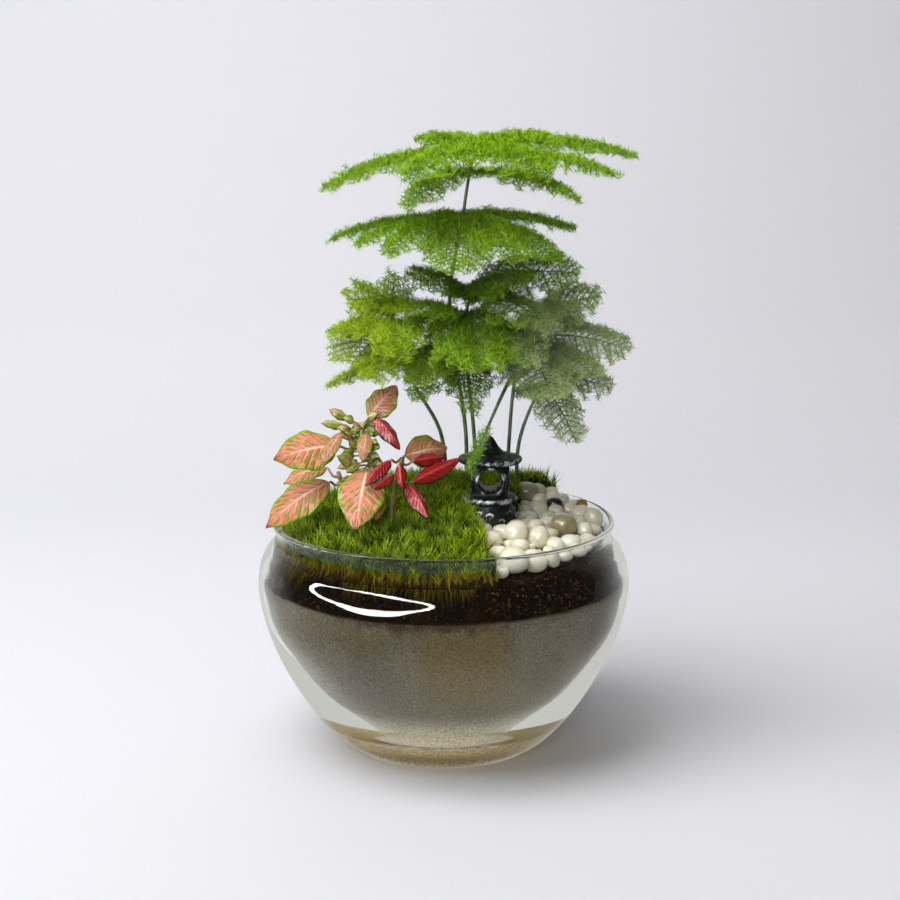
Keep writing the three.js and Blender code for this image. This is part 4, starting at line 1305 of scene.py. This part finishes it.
def pebbles():
    finishes = {
        "olive_stone": river_stone("olive_stone", (0.42, 0.37, 0.20), (0.26, 0.22, 0.10), 0.22),
        "black_stone": river_stone("black_stone", (0.018, 0.021, 0.024), (0.008, 0.009, 0.01), 0.2, 0.0),
        "slate_stone": river_stone("slate_stone", (0.10, 0.11, 0.12), (0.05, 0.055, 0.06), 0.3),
        "beige_stone": river_stone("beige_stone", (0.43, 0.39, 0.29), (0.30, 0.27, 0.18), 0.25),
        "amber_stone": river_stone("amber_stone", (0.46, 0.26, 0.07), (0.30, 0.14, 0.03), 0.22),
    }
    white = river_stone("white_stone", (0.98, 0.95, 0.83), (0.88, 0.81, 0.62), 0.22)
    stones = SHOWN_STONES + fill_stones()
    heap = []
    for number, stone_sizes in enumerate(stones + stone_chips(stones)):
        fineness = 3 if number < len(stones) else 2
        stone = pebble(f"stone_{number}", *stone_sizes, number, fineness=fineness)
        stone.data.materials.append(white)
        heap.append(stone)
    bed = press_inside(merged("river_pebbles", heap), 0.2)
    dress(bed, "white_stone", "pebbles_white")
    for number, (node, x, y, long, tall, lift, slot) in enumerate(STAND_OUT_STONES):
        stone = pebble(node.replace("pebble", "stone"), x, y, long, tall, 0.0, 200 + number, lift)
        stone.data.materials.append(finishes[slot])
        dress(stone, slot, node)


# Lantern

LANTERN_SIDES = 120
LANTERN_LINE = [
    # radius, height, how far the silver catches it
    (0, 0, 0), (10.5, 0, 0), (10.95, 0.4, 0.3), (10.9, 2.5, 0.2), (10.6, 4.6, 0.1), (9.9, 6.8, 0.1),
    (9.1, 8.4, 0), (8.6, 9.3, 0), (8.7, 9.9, 0), (10.0, 10.2, 0.1), (10.65, 10.6, 0.6),
    (10.9, 11.4, 0.8), (10.7, 12.2, 0.7), (10.2, 12.6, 0.35), (8.6, 12.75, 0.15), (7.5, 13.0, 0.1),
    (7.2, 13.6, 0.1), (7.5, 15.5, 0), (7.75, 18, 0), (7.8, 19.3, 0), (7.7, 21.3, 0), (7.4, 23.6, 0),
    (7.2, 25.0, 0), (8.4, 25.5, 0), (11.4, 25.8, 0), (12.3, 26.1, 0.35), (12.7, 26.8, 0.75),
    (12.65, 27.5, 0.8), (12.2, 28.1, 0.7), (11.2, 28.35, 0.45), (9.9, 28.5, 0.3), (8.8, 29.0, 0.5),
    (7.9, 29.3, 0.25), (6.6, 29.5, 0.1), (5.5, 29.9, 0.05), (4.5, 30.8, 0.1), (3.5, 31.9, 0.1),
    (2.6, 33.2, 0.1), (1.8, 34.6, 0.15), (1.1, 35.7, 0.2), (0.5, 36.25, 0.3), (0, 36.4, 0.3),
]
FOOT_CURLS = [
    # bearing from the front, height, size
    (0.05, 5.6, 2.1), (0.48, 3.4, 1.8), (-0.42, 6.2, 1.9), (-0.8, 3.8, 2.1), (0.9, 6.0, 2.0),
    (-0.2, 2.6, 1.4), (1.35, 3.4, 2.1), (-1.3, 5.8, 2.0), (1.9, 5.6, 2.0), (-1.9, 3.4, 2.1),
    (2.45, 3.6, 2.0), (-2.5, 5.6, 2.0), (3.1, 4.4, 2.2),
]
HUB_REACH = 8.0
HUB_WALL = 0.9
BLIND_RADIUS = 4.3
BLIND_FROM = 4.9
PAST_WALL = 12
WINDOW_HOOPS = [
    # how far out, radius, thickness, silver, how wavy
    (7.9, 5.35, 0.55, 0.5, 0.15),
    (7.0, 6.25, 0.5, 0.3, 0.2),
]
BLIND_HOOP = (7.0, 4.9, 0.6, 0.5, 0.15)
HOOP_STEPS = 44
HOOP_SIDES = 8


def curl_relief(turn, z):
    """Raised scrolls round the lantern's foot."""
    best = 0.0
    for bearing, height, size in FOOT_CURLS:
        dx = 9.6 * math.remainder(turn - bearing, 2 * math.pi)
        dz = 1.15 * (z - height)
        away = math.hypot(dx, dz)
        swirl = math.atan2(dz, dx)
        spiral = math.remainder(away / (0.42 * size) - swirl, 2 * math.pi)
        if away < 1.25 * size:
            best = max(best, math.exp(-((spiral / 0.75) ** 2)) * rise(1.25 * size, 0.9 * size, away))
    return best


def lantern_profile():
    """The lantern's line in steps of about half a millimetre."""
    line = []
    for start, end in zip(LANTERN_LINE, LANTERN_LINE[1:]):
        steps = max(1, round(math.hypot(end[0] - start[0], end[1] - start[1]) / 0.55))
        for i in range(steps):
            line.append(tuple(a + (b - a) * i / steps for a, b in zip(start, end)))
    return [*line, LANTERN_LINE[-1]]


def lantern_relief(turn, r, z, silver):
    """How far the casting stands out there, and how much silver it holds."""
    relief, catch = 0.0, silver
    if 1.2 < z < 9.0:
        curl = curl_relief(turn, z) * rise(1.0, 2.0, z) * rise(9.0, 7.8, z)
        relief, catch = 0.6 * curl - 0.1, 0.24 + 0.75 * curl
    worn = 0.5 + 0.9 * drift(r * math.sin(turn), r * math.cos(turn), z, 3.2, 2)
    rope = math.sin(26 * turn + 5 * z) * silver * rise(9, 10, r)
    relief += 0.16 * rope
    catch = catch * (0.55 + 0.6 * worn) + 0.2 * rope * worn
    if z > 30:
        relief += 0.16 * abs(math.sin(4 * turn + 0.12 * z)) * min(1, r / 2)
    return relief, catch


def lantern_body():
    rings, raised = [], []
    for r, z, silver in lantern_profile():
        if r == 0:
            rings.append([(0, 0, z)])
            raised.append(silver)
            continue
        ring = []
        for k in range(LANTERN_SIDES):
            turn = 2 * math.pi * k / LANTERN_SIDES
            relief, catch = lantern_relief(turn, r, z, silver)
            rough = drift(r * math.sin(turn), r * math.cos(turn), z, 1.4)
            out = r + (relief + 0.12 * rough)
            sag = 0.08 * rough * (10 < z < 35)
            ring.append((out * math.sin(turn), -out * math.cos(turn), z + sag))
            raised.append(catch + 0.25 * rough)
        rings.append(ring)
    body = ring_skin("garden_lantern", rings)
    mark(body, "raised", raised)
    return body


def hoop(centre, axis, radius, tube, catch, wobble):
    """A raised ring round a window."""
    facing = Vector(axis).to_track_quat("Z", "Y").to_matrix()
    rings, raised = [], []
    for i in range(HOOP_STEPS):
        turn = 2 * math.pi * i / HOOP_STEPS
        ring = []
        for k in range(HOOP_SIDES):
            bend = 2 * math.pi * k / HOOP_SIDES
            r = radius + tube * math.cos(bend) * (1 + wobble * math.sin(9 * turn))
            local = Vector((r * math.cos(turn), r * math.sin(turn), tube * math.sin(bend)))
            ring.append(Vector(centre) + facing @ local)
            raised.append(catch * (0.5 + 0.5 * math.sin(bend)) + 0.2 * math.sin(5 * turn))
        rings.append(ring)
    made = outward(ring_skin("hoop", rings, closed=True))
    mark(made, "raised", raised)
    return made


def post(name, start, end, radius, sides=40):
    """A round bar from one point to another, to add to the casting or to cut it with."""
    axis = Vector(end) - Vector(start)
    turn = axis.to_track_quat("Z", "Y").to_matrix()
    points, rows = [], []
    for share in (0, 1):
        centre = Vector(start) + axis * share
        rows.append([len(points)])
        points.append(centre)
        rows.append(list(range(len(points), len(points) + sides)))
        for k in range(sides):
            a = 2 * math.pi * k / sides
            points.append(centre + turn @ Vector((radius * math.cos(a), radius * math.sin(a), 0)))
    return outward(mesh_object(name, points, skin([rows[0], rows[1], rows[3], rows[2]])))


def lantern():
    """The casting with a window through it, two blind ones at the sides, and hoops round them."""
    body = lantern_body()
    for way in (1, -1):
        face = (0, HUB_REACH * way, WINDOW_HEIGHT)
        boolean(body, post("hub", (0, 0, WINDOW_HEIGHT), face, WINDOW_RADIUS + HUB_WALL), "UNION")
    front, back = (0, -PAST_WALL, WINDOW_HEIGHT), (0, PAST_WALL, WINDOW_HEIGHT)
    boolean(body, post("window", front, back, WINDOW_RADIUS), "DIFFERENCE")
    for way in (1, -1):
        inner, outer = (BLIND_FROM * way, 0, WINDOW_HEIGHT), (PAST_WALL * way, 0, WINDOW_HEIGHT)
        boolean(body, post("blind", inner, outer, BLIND_RADIUS), "DIFFERENCE")
    parts = [body]
    for way in (1, -1):
        for reach, *sizes in WINDOW_HOOPS:
            parts.append(hoop((0, reach * way, WINDOW_HEIGHT), (0, way, 0), *sizes))
        reach, *sizes = BLIND_HOOP
        parts.append(hoop((reach * way, 0, WINDOW_HEIGHT), (way, 0, 0), *sizes))
    whole = merged("garden_lantern", parts)
    whole.data.transform(Matrix.Translation(Vector(LANTERN_AT) * MM))
    whole.data.materials.clear()
    whole.data.materials.append(cast_resin())
    dress(whole, "cast_resin", "lantern")


# Fern

FERN_SHOOTS = [
    # A frond: root, tip, width, arch and, where it isn't up, the way its face looks. Some fronds have a
    # blade in the solids, and the others fill the crown round them.
    {
        "node": "fern_tall",
        "stem": [
            (9.5, 19, 84), (9.5, 19, 106), (9, 18, 126), (3.8, 16, 162), (2.6, 14, 184), (7, 12, 208),
            (10, 10, 228), (13, 8.5, 241),
        ],
        "fronds": [
            ((12, 9, 238), (-48, 0, 223.5), 32, 6),
            ((12.3, 8.9, 239), (-4, 44, 243.5), 28, 2),
            ((12.6, 8.6, 240.5), (77.5, 14, 236), 32, 5),
            ((12, 9, 237), (66, -24, 229.5), 28, 5),
            ((12.4, 8.8, 241), (42, 48, 243.5), 28, 2),
            ((11, 9.5, 232), (-14, -24, 218), 22, 3),
            ((10.8, 9.6, 230.5), (50, -32, 221.5), 22, 4),
            ((12.5, 8.7, 240), (36, -38, 230), 30, 5),
            ((12, 9, 239.5), (-12, -34, 228), 28, 5),
        ],
    },
    {
        # The same shoot's lower tier
        "node": "fern_tall",
        "stem": [],
        "fronds": [
            ((7.6, 11.7, 212), (-45.5, 13, 203.3), 28, 4),
            ((7.4, 11.8, 211), (-21, -24, 200), 26, 4),
            ((7.2, 11.9, 209.5), (4, -38, 194.5), 28, 4),
            ((7.8, 11.6, 213.5), (53.4, 22, 206.9), 28, 3),
            ((7.5, 11.7, 210.5), (44.2, -28, 198), 26, 5),
            ((7.6, 11.7, 212.5), (2, 50, 208), 26, 2),
            ((7.5, 11.7, 212), (28, -36, 199), 28, 5),
            ((7.4, 11.8, 211), (-34, -12, 203), 24, 4),
            ((4.4, 16.2, 158), (-10, -22, 144), 22, 4),
        ],
    },
    {
        "node": "fern_left",
        "stem": [
            (1, 15, 84), (1, 15, 106), (-1.5, 13, 126), (-12.8, 10, 147), (-18.3, 8, 162),
            (-20.5, 6, 178),
        ],
        "fronds": [
            ((-16, 8.8, 155), (-46, -5, 146.4), 18, 2),
            ((-19, 7.4, 167), (-36, -18, 157), 32, 4, (0, -0.5, 1)),
            ((-20.2, 6.3, 175), (-38, -2, 181), 28, 3, (0, -0.7, 1)),
            ((-20.5, 6, 177.5), (-19, -2, 192), 15, 1, (0, -1, 0.2)),
            ((-19.8, 6.8, 171), (-16, -38, 163), 24, 5),
            ((-20, 6.5, 173), (-28, 40, 176), 28, 3),
            ((-19.5, 7, 170), (-40, -16, 168), 28, 4),
            ((-18, 8, 162), (-26, -28, 152), 26, 4),
            ((-20.3, 6.2, 176), (2, -16, 176), 28, 4),
        ],
    },
    {
        "node": "fern_centre",
        "stem": [
            (13.5, 23, 84), (13.5, 23, 106), (12, 22, 129), (9.6, 21, 150), (9, 20, 170), (12, 18, 187),
        ],
        "fronds": [
            ((9.2, 19.9, 174), (14, -38, 158), 40, 6),
            ((10.6, 19, 180), (42, -22, 171), 34, 5),
            ((12, 18, 186), (54, 8, 190.5), 32, 3, (0, -0.6, 1)),
            ((10, 19.4, 178), (18, 60, 178), 30, 3),
            ((9.3, 20.6, 157), (11, -21, 139), 20, 4),
            ((9.4, 20, 172), (-18, -14, 168), 30, 4),
            ((11, 18.7, 182), (-12, -4, 189), 26, 2, (0, -0.6, 1)),
            ((9.5, 20, 168), (34, -30, 158), 32, 5),
            ((11.5, 18.4, 184), (32, -12, 188), 28, 3, (0, -0.6, 1)),
            ((9.2, 20.3, 163), (-10, -30, 152), 26, 4),
        ],
    },
    {
        "node": "fern_right",
        "stem": [
            (26.5, 24, 84), (26.5, 24, 106), (27, 22, 119), (28.5, 22, 140), (31, 21, 156), (36, 20, 171),
        ],
        "fronds": [
            ((33, 20.6, 162.5), (74.5, 4, 160), 34, 4, (0, -0.4, 1)),
            ((36, 20, 170), (63, 10, 181), 28, 3, (0, -0.7, 1)),
            ((31.2, 20.9, 157), (42, -30, 146), 32, 5),
            ((34, 20.4, 166), (54, 52, 166), 28, 3),
            ((35, 20.2, 168), (24, -26, 162), 28, 4),
            ((32, 20.7, 160), (60, -16, 152), 28, 4),
            ((36, 20, 170), (50, -12, 178), 24, 2, (0, -0.7, 1)),
        ],
    },
    {
        "node": "fern_low",
        "stem": [(30, 17, 84), (30, 17, 106), (31, 16, 120.6), (35, 14, 134), (40.5, 11, 146)],
        "fronds": [
            ((39.6, 11.5, 144), (52, -18, 127), 20, 4, (0, -0.6, 1)),
            ((40.4, 11, 145.5), (67, 0, 145.5), 24, 3, (0, -0.4, 1)),
            ((37, 13, 138.5), (42, 46, 137), 20, 3),
        ],
    },
    {
        "node": "fern_hanging",
        "stem": [(30, 20.6, 148), (27, -4, 151), (22.5, -18, 145), (17, -25, 134)],
        "fronds": [((17.2, -24.8, 134.4), (9.8, -29, 117), 9, 0)],
    },
]
STEM_FOOT, STEM_TOP = 0.95, 0.6
RIB_POINTS = 12
BRANCH_POINTS = 6
BRANCH_PITCH = 2.7
TWIG_PITCH = 2.1
FACING_FRONT = (0, -1, 0)


class Axes:
    """Chains of points for stems, branches and twigs, with the marks that the growth reads."""

    def __init__(self):
        self.points, self.edges = [], []
        self.marks = {"radius": [], "leafy": [], "size": [], "up": []}

    def chain(self, points, radii, leafy, up, sizes=None):
        start = len(self.points)
        self.points += [tuple(p) for p in points]
        self.edges += [(start + i, start + i + 1) for i in range(len(points) - 1)]
        self.marks["radius"] += [r * MM for r in radii]
        self.marks["leafy"] += [leafy] * len(points)
        self.marks["size"] += sizes or [1.0] * len(points)
        self.marks["up"] += [tuple(up)] * len(points)

    def piece(self, name):
        made = mesh_object(name, self.points, [], self.edges)
        for title, values in self.marks.items():
            mark(made, title, values, "FLOAT_VECTOR" if title == "up" else "FLOAT")
        return made


def taper(start, end, count):
    return [start + (end - start) * i / (count - 1) for i in range(count)]


def add_frond(axes, draw, root, tip, width, arch, face=(0, 0, 1)):
    """A flat frond: a rib, side branches in two rows, and twigs along each branch."""
    root, tip = Vector(root), Vector(tip)
    length = (tip - root).length
    ahead = (tip - root).normalized()
    across = Vector(face).cross(ahead).normalized()
    up = ahead.cross(across)

    def bent(u, v, lift=0.0):
        share = min(1, max(0, u / length))
        droop = 0.056 * arch * v * v / (width / 2)
        return root + ahead * u + across * v + up * (4 * arch * share * (1 - share) - droop + lift)

    rib = [bent(length * i / (RIB_POINTS - 1), 0) for i in range(RIB_POINTS)]
    axes.chain(rib, taper(0.42, 0.12, RIB_POINTS), 1.0, up)
    place, side = 0.06 * length, 1
    while place < 0.97 * length:
        share = place / length
        reach = width / 2 * math.sin(math.pi * (0.2 + 0.78 * share)) ** 0.8 * draw.uniform(0.78, 1.1)
        lean = draw.uniform(0.42, 0.62)
        lift = draw.uniform(-1.0, 1.0) * width / 26
        branch = []
        for i in range(BRANCH_POINTS):
            t = i / (BRANCH_POINTS - 1)
            swell = lift * t * t + 0.5 * math.sin(3 * t)
            branch.append(bent(place + lean * reach * t**1.15, side * reach * t, swell))
        axes.chain(branch, taper(0.2, 0.09, BRANCH_POINTS), 1.0, up, taper(1.0, 0.8, BRANCH_POINTS))
        step, twig_side = 0.16, 1
        while step < 0.93:
            along = step * (BRANCH_POINTS - 1)
            spot = min(BRANCH_POINTS - 2, int(along))
            base = branch[spot].lerp(branch[spot + 1], along - spot)
            out = (branch[spot + 1] - branch[spot]).normalized()
            sideways = up.cross(out).normalized() * twig_side
            way = (out * draw.uniform(0.7, 1.0) + sideways * draw.uniform(0.65, 0.95)).normalized()
            long = (1.8 + 0.3 * reach * (1 - step)) * draw.uniform(0.7, 1.25)
            rise_by = up * draw.uniform(-0.25, 0.45)
            twig = [base + (way * long * t + rise_by * long * t * t) for t in (0, 0.5, 1)]
            axes.chain(twig, (0, 0, 0), 1.0, up, [1.0, 0.95, 0.8])
            step += TWIG_PITCH / max(reach, 3) * draw.uniform(0.8, 1.2)
            twig_side = -twig_side
        place += BRANCH_PITCH * 0.5 * draw.uniform(0.85, 1.15)
        side = -side


def needle_pair():
    """Two needles that cross a twig in line, tip to tip, kept as a pattern one metre long each."""
    reach = 1 / MM
    points = [(0, 0, -reach), (0, 0, reach)]
    points += [(-0.5 * reach, 0.2 * reach, 0), (0.5 * reach, 0.2 * reach, 0)]
    pair = mesh_object("needle_pair", points, [(0, 1, 2), (0, 1, 3), (0, 2, 3), (1, 2, 3)], smooth=False)
    mark(pair, "tip", [1, 1, 0, 0])
    return outward(pair)


def fern_growth(pair, needle, bark):
    grow = Growth("fern_growth", {
        "Needle spacing": 0.52 * MM, "Needle length": 3.0 * MM, "Needle width": 0.40 * MM, "Seed": 31,
    })
    axes = grow.given("Geometry")
    woody = grow.chosen(axes, grow.math("GREATER_THAN", grow.named("radius"), 0.05 * MM))
    rods = grow.painted(grow.rods(woody, 5), bark)
    leafy = grow.chosen(axes, grow.math("GREATER_THAN", grow.named("leafy"), 0.5))
    spacing = {"Curve": grow.node("GeometryNodeMeshToCurve", {}, {"Mesh": leafy})}
    spacing["Length"] = grow.given("Needle spacing")
    twigs = grow.node("GeometryNodeResampleCurve", {"mode": "LENGTH"}, spacing)
    pattern = grow.node("GeometryNodeObjectInfo", {}, {"Object": pair}, "Geometry")
    ahead = {"Vector": grow.node("GeometryNodeInputTangent")}
    along = grow.node("FunctionNodeAlignRotationToVector", {"axis": "Z"}, ahead)
    upward = {"Rotation": along, "Vector": grow.named("up", "FLOAT_VECTOR")}
    level = grow.node("FunctionNodeAlignRotationToVector", {"axis": "X", "pivot_axis": "Z"}, upward)
    spin = grow.turned(level, (0, 0, 1), grow.random(-1.15, 1.15, 2) + math.pi / 2)
    lean = grow.turned(spin, (0, 1, 0), grow.random(0.95, 2.2, 3))
    long = grow.given("Needle length") * grow.named("size") * grow.random(0.65, 1.2, 4)
    width = grow.given("Needle width")
    scale = grow.node("ShaderNodeCombineXYZ", {}, {0: width, 1: width, 2: long})
    needles = grow.painted(grow.scattered(twigs, pattern, lean, scale), needle)
    grow.finish(grow.joined(rods, needles))
    return grow


def fern():
    pair = needle_pair()
    grow = fern_growth(pair, fern_green(), fern_wood())
    for number, shoot in enumerate(FERN_SHOOTS):
        axes = Axes()
        draw = random.Random(50 + number)
        if shoot["stem"]:
            stem = smooth_path(shoot["stem"], 6)
            axes.chain(stem, taper(STEM_FOOT, STEM_TOP, len(stem)), 0.0, FACING_FRONT)
        for spray in shoot["fronds"]:
            add_frond(axes, draw, *spray)
        piece = axes.piece(f"feathery_{shoot['node']}_{number}")
        piece = grow.run(piece, keep=("shade", "tip"))
        dress(piece, "fern_foliage", shoot["node"])
    bpy.data.objects.remove(pair)


# Nerve plant

NERVE_STEMS = [
    ("nerve_stem_main", [(-29, -20, 84), (-29, -20, 101), (-28.5, -23, 119), (-31.5, -22, 134.5)]),
    ("nerve_stem_right", [(-20, -22, 84), (-20, -22, 101), (-16, -29, 123)]),
    ("nerve_stem_left", [(-37, -18, 84), (-37, -18, 99), (-41, -22, 116)]),
]
NERVE_LEAVES = [
    # name, stem, base, tip, width, face, arch
    ("left_upper", 0, (-41, -25, 127), (-65.1, -34, 123.2), 17.5, (-0.1, -0.8, 0.6), 2.5),
    ("left_lower", 2, (-44, -27, 113), (-68.4, -35, 96.5), 16, (-0.4, -0.75, 0.55), 3),
    ("front", 0, (-29.5, -33, 119), (-33.2, -50, 99.5), 18, (0, -0.9, 0.45), 3),
    ("top", 0, (-29, -20, 137), (-18.1, -14, 148.7), 13, (-0.5, -0.8, 0.3), 1),
    ("middle", 0, (-29.5, -29, 133), (-31, -34, 122.5), 6, (0, -0.95, 0.3), 1),
    ("small", 0, (-39, -32, 133.5), (-46.5, -38, 122), 5.5, (-0.2, -0.9, 0.3), 1),
    ("right", 1, (-15, -20, 122), (1.5, -12, 123.5), 14, (0, -0.85, 0.5), 2),
    ("behind", 2, (-46, -15, 116), (-63, -17, 110), 10, (-0.3, -0.5, 0.8), 2),
    ("under", 0, (-25.5, -31, 112), (-25.4, -41, 101), 7.5, (0.1, -0.95, 0.3), 1),
    ("bud_left", 0, (-38, -25, 135), (-47, -28, 136.5), 4.5, (0, -0.6, 0.8), 1),
    ("bud_top", 0, (-37, -21, 137), (-44.2, -23, 141), 4.5, (0, -0.7, 0.7), 1),
]
NERVE_RED_LEAVES = [
    # name, stem, base, tip, width, face, arch
    ("red_arch", 0, (-27, -27, 139), (-16.5, -33, 127), 6.5, (0.3, -0.8, 0.5), 3),
    ("red_low", 1, (-11.5, -27, 121.5), (1, -24, 122.5), 5.5, (0, -0.8, 0.5), 1),
    ("red_right", 1, (-12, -32, 114), (6.9, -27, 122.5), 7, (0.1, -0.8, 0.5), 1),
    ("red_front", 1, (-14, -36, 115), (-5.7, -46, 103), 7, (0.4, -0.8, 0.4), 2),
    ("red_hanging", 1, (-16.5, -38.5, 123), (-15.5, -42, 113.5), 4.5, (0, -0.9, 0.3), 1),
    ("red_curved", 1, (-20, -36, 123.5), (-29.5, -43, 115), 6, (-0.3, -0.7, 0.6), 2.5),
    ("red_small", 1, (-18.5, -38, 118.5), (-26.5, -44.5, 113.8), 4, (-0.3, -0.8, 0.5), 1),
]
STEM_RADII = (1.25, 0.85)
LEAF_STALK_RADII = (0.6, 0.42)
YOUNG_STALK_RADII = (0.4, 0.3)
HEART_LEAVES = 44
HEART_FOOT = (-31.5, -22, 110)
HEART_RISE = 26
LEAF_THICK = 0.5


def leaf_blade(name, leaf, fold, pucker, wave, rows=26, columns=8):
    """A thin closed leaf: crown and fold as the CAD blade, quilted between its side veins.

    The leaf is its base, tip, width, face and arch; the pucker and the wave are shares of its width.
    """
    base, tip, width, face, arch = leaf
    pucker, wave = pucker * width, wave * width
    start, along = Vector(base), Vector(tip) - Vector(base)
    across = Vector(face).cross(along).normalized()
    out = along.cross(across).normalized()
    points, uvs = [], []
    for offset in (-LEAF_THICK / 2, LEAF_THICK / 2):
        for i in range(rows + 1):
            share = 0.012 + 0.98 * i / rows
            half = max(0.06, 0.5 * width * math.sin(math.pi * share**0.85) ** 0.85)
            for j in range(-columns, columns + 1):
                side = j / columns
                crease = math.sqrt(side * side + 0.004) - 0.063
                phase = (share - 0.26 * abs(side) ** 0.85) / 0.115
                swell = abs(math.sin(math.pi * phase)) - 0.5
                quilt = pucker * swell * (1 - side**4) * rise(0, 0.15, abs(side))
                ripple = wave * math.sin(19 * share + 2.5 * (side > 0)) * side * side
                lift = 4 * arch * share * (1 - share) - fold * crease * half + quilt + ripple + offset
                points.append(start + along * share + across * side * half + out * lift)
                uvs.append(((side + 1) / 2, share))
    row = 2 * columns + 1
    layer = (rows + 1) * row
    faces = []
    for i in range(rows):
        for j in range(row - 1):
            a = i * row + j
            quad = (a, a + 1, a + row + 1, a + row)
            faces.append(tuple(reversed(quad)))
            faces.append(tuple(layer + q for q in quad))
    rim = [i * row for i in range(rows + 1)] + [rows * row + j for j in range(1, row)]
    rim += [i * row + row - 1 for i in range(rows - 1, -1, -1)] + [j for j in range(row - 2, 0, -1)]
    for a, b in zip(rim, rim[1:] + rim[:1]):
        faces.append((a, b, layer + b, layer + a))
    blade = mesh_object(name, points, faces)
    layout = blade.data.uv_layers.new(name="leaf")
    corners = np.empty(len(blade.data.loops), dtype=np.int32)
    blade.data.loops.foreach_get("vertex_index", corners)
    layout.data.foreach_set("uv", np.array(uvs)[corners].ravel())
    return outward(blade)


def stalk_growth(bark):
    grow = Growth("stalk_growth", {"Sides": 8})
    grow.finish(grow.painted(grow.rods(grow.given("Geometry"), grow.given("Sides")), bark))
    return grow


def heart_leaves():
    """Base, tip, width, face and arch of the young curled leaves that crowd round the main stem."""
    draw = random.Random(23)
    x, y, foot = HEART_FOOT
    leaves = []
    for i in range(HEART_LEAVES):
        share = i / (HEART_LEAVES - 1)
        turn = 2.4 * i + draw.uniform(-0.4, 0.4)
        way = Vector((math.sin(turn), -0.45 - 0.55 * abs(math.cos(turn)), draw.uniform(-0.35, 0.75)))
        base = Vector((x, y, foot + HEART_RISE * share)) + draw.uniform(1.5, 5) * way
        tip = base + way.normalized() * draw.uniform(4.5, 9) * (1.15 - 0.4 * share)
        face = (0.3 * way.x, -0.75, draw.uniform(0.3, 0.7))
        leaves.append((base, tip, draw.uniform(3.0, 4.6), face, draw.uniform(0.8, 1.8)))
    return leaves


def nerve_stems(grow):
    """The stems, with a stalk from the nearest point of its stem to each leaf."""
    everyone = [*NERVE_LEAVES, *NERVE_RED_LEAVES]
    for number, (node, path) in enumerate(NERVE_STEMS):
        axes = Axes()
        line = smooth_path(path, 8)
        axes.chain(line, taper(*STEM_RADII, len(line)), 0.0, FACING_FRONT)
        for _, stem, base, tip, *_ in everyone:
            if stem != number:
                continue
            end = Vector(base)
            away = (Vector(tip) - end).normalized()
            low = end - away * GAP - Vector((0, 0, 3))
            root = min(line, key=lambda p: (p - low).length)
            middle = root.lerp(end, 0.55) + Vector((0, 0, -0.15)) * (end - root).length
            petiole = smooth_path([root, middle, end - away * GAP, end + away * 0.6], 4)
            axes.chain(petiole, taper(*LEAF_STALK_RADII, len(petiole)), 0.0, FACING_FRONT)
        if number == 0:
            for base, *_ in heart_leaves():
                root = min(line, key=lambda p: (p - base).length)
                axes.chain([root, base], YOUNG_STALK_RADII, 0.0, FACING_FRONT)
        stem = grow.run(axes.piece(node.replace("stem", "stalk")))
        dress(stem, "nerve_stem", node)


def nerve_plant():
    pink, red, green = netted_pink(), folded_red(), bud_green()
    nerve_stems(stalk_growth(nerve_stalk()))
    for name, _, *leaf in NERVE_LEAVES:
        young = name.startswith("bud")
        blade = leaf_blade(f"netted_leaf_{name}", leaf, 0.15 + 0.5 * young, 0.045, 0.04)
        blade.data.materials.append(green if young else pink)
        dress(blade, "pink_leaf", f"nerve_leaf_{name}")
    for name, _, *leaf in NERVE_RED_LEAVES:
        blade = leaf_blade(f"folded_leaf_{name}", leaf, 0.9, 0.02, 0.05)
        blade.data.materials.append(red)
        dress(blade, "red_leaf", f"nerve_leaf_{name}")
    curled = [leaf_blade("young_leaf", leaf, 0.5, 0.03, 0.05, 10, 4) for leaf in heart_leaves()]
    heart = merged("young_leaves", curled)
    heart.data.materials.append(green)
    dress(heart, "pink_leaf")


# The whole terrarium

studio()
glass_bowl()
sand_layer()
soil_layer()
moss()
pebbles()
lantern()
fern()
nerve_plant()
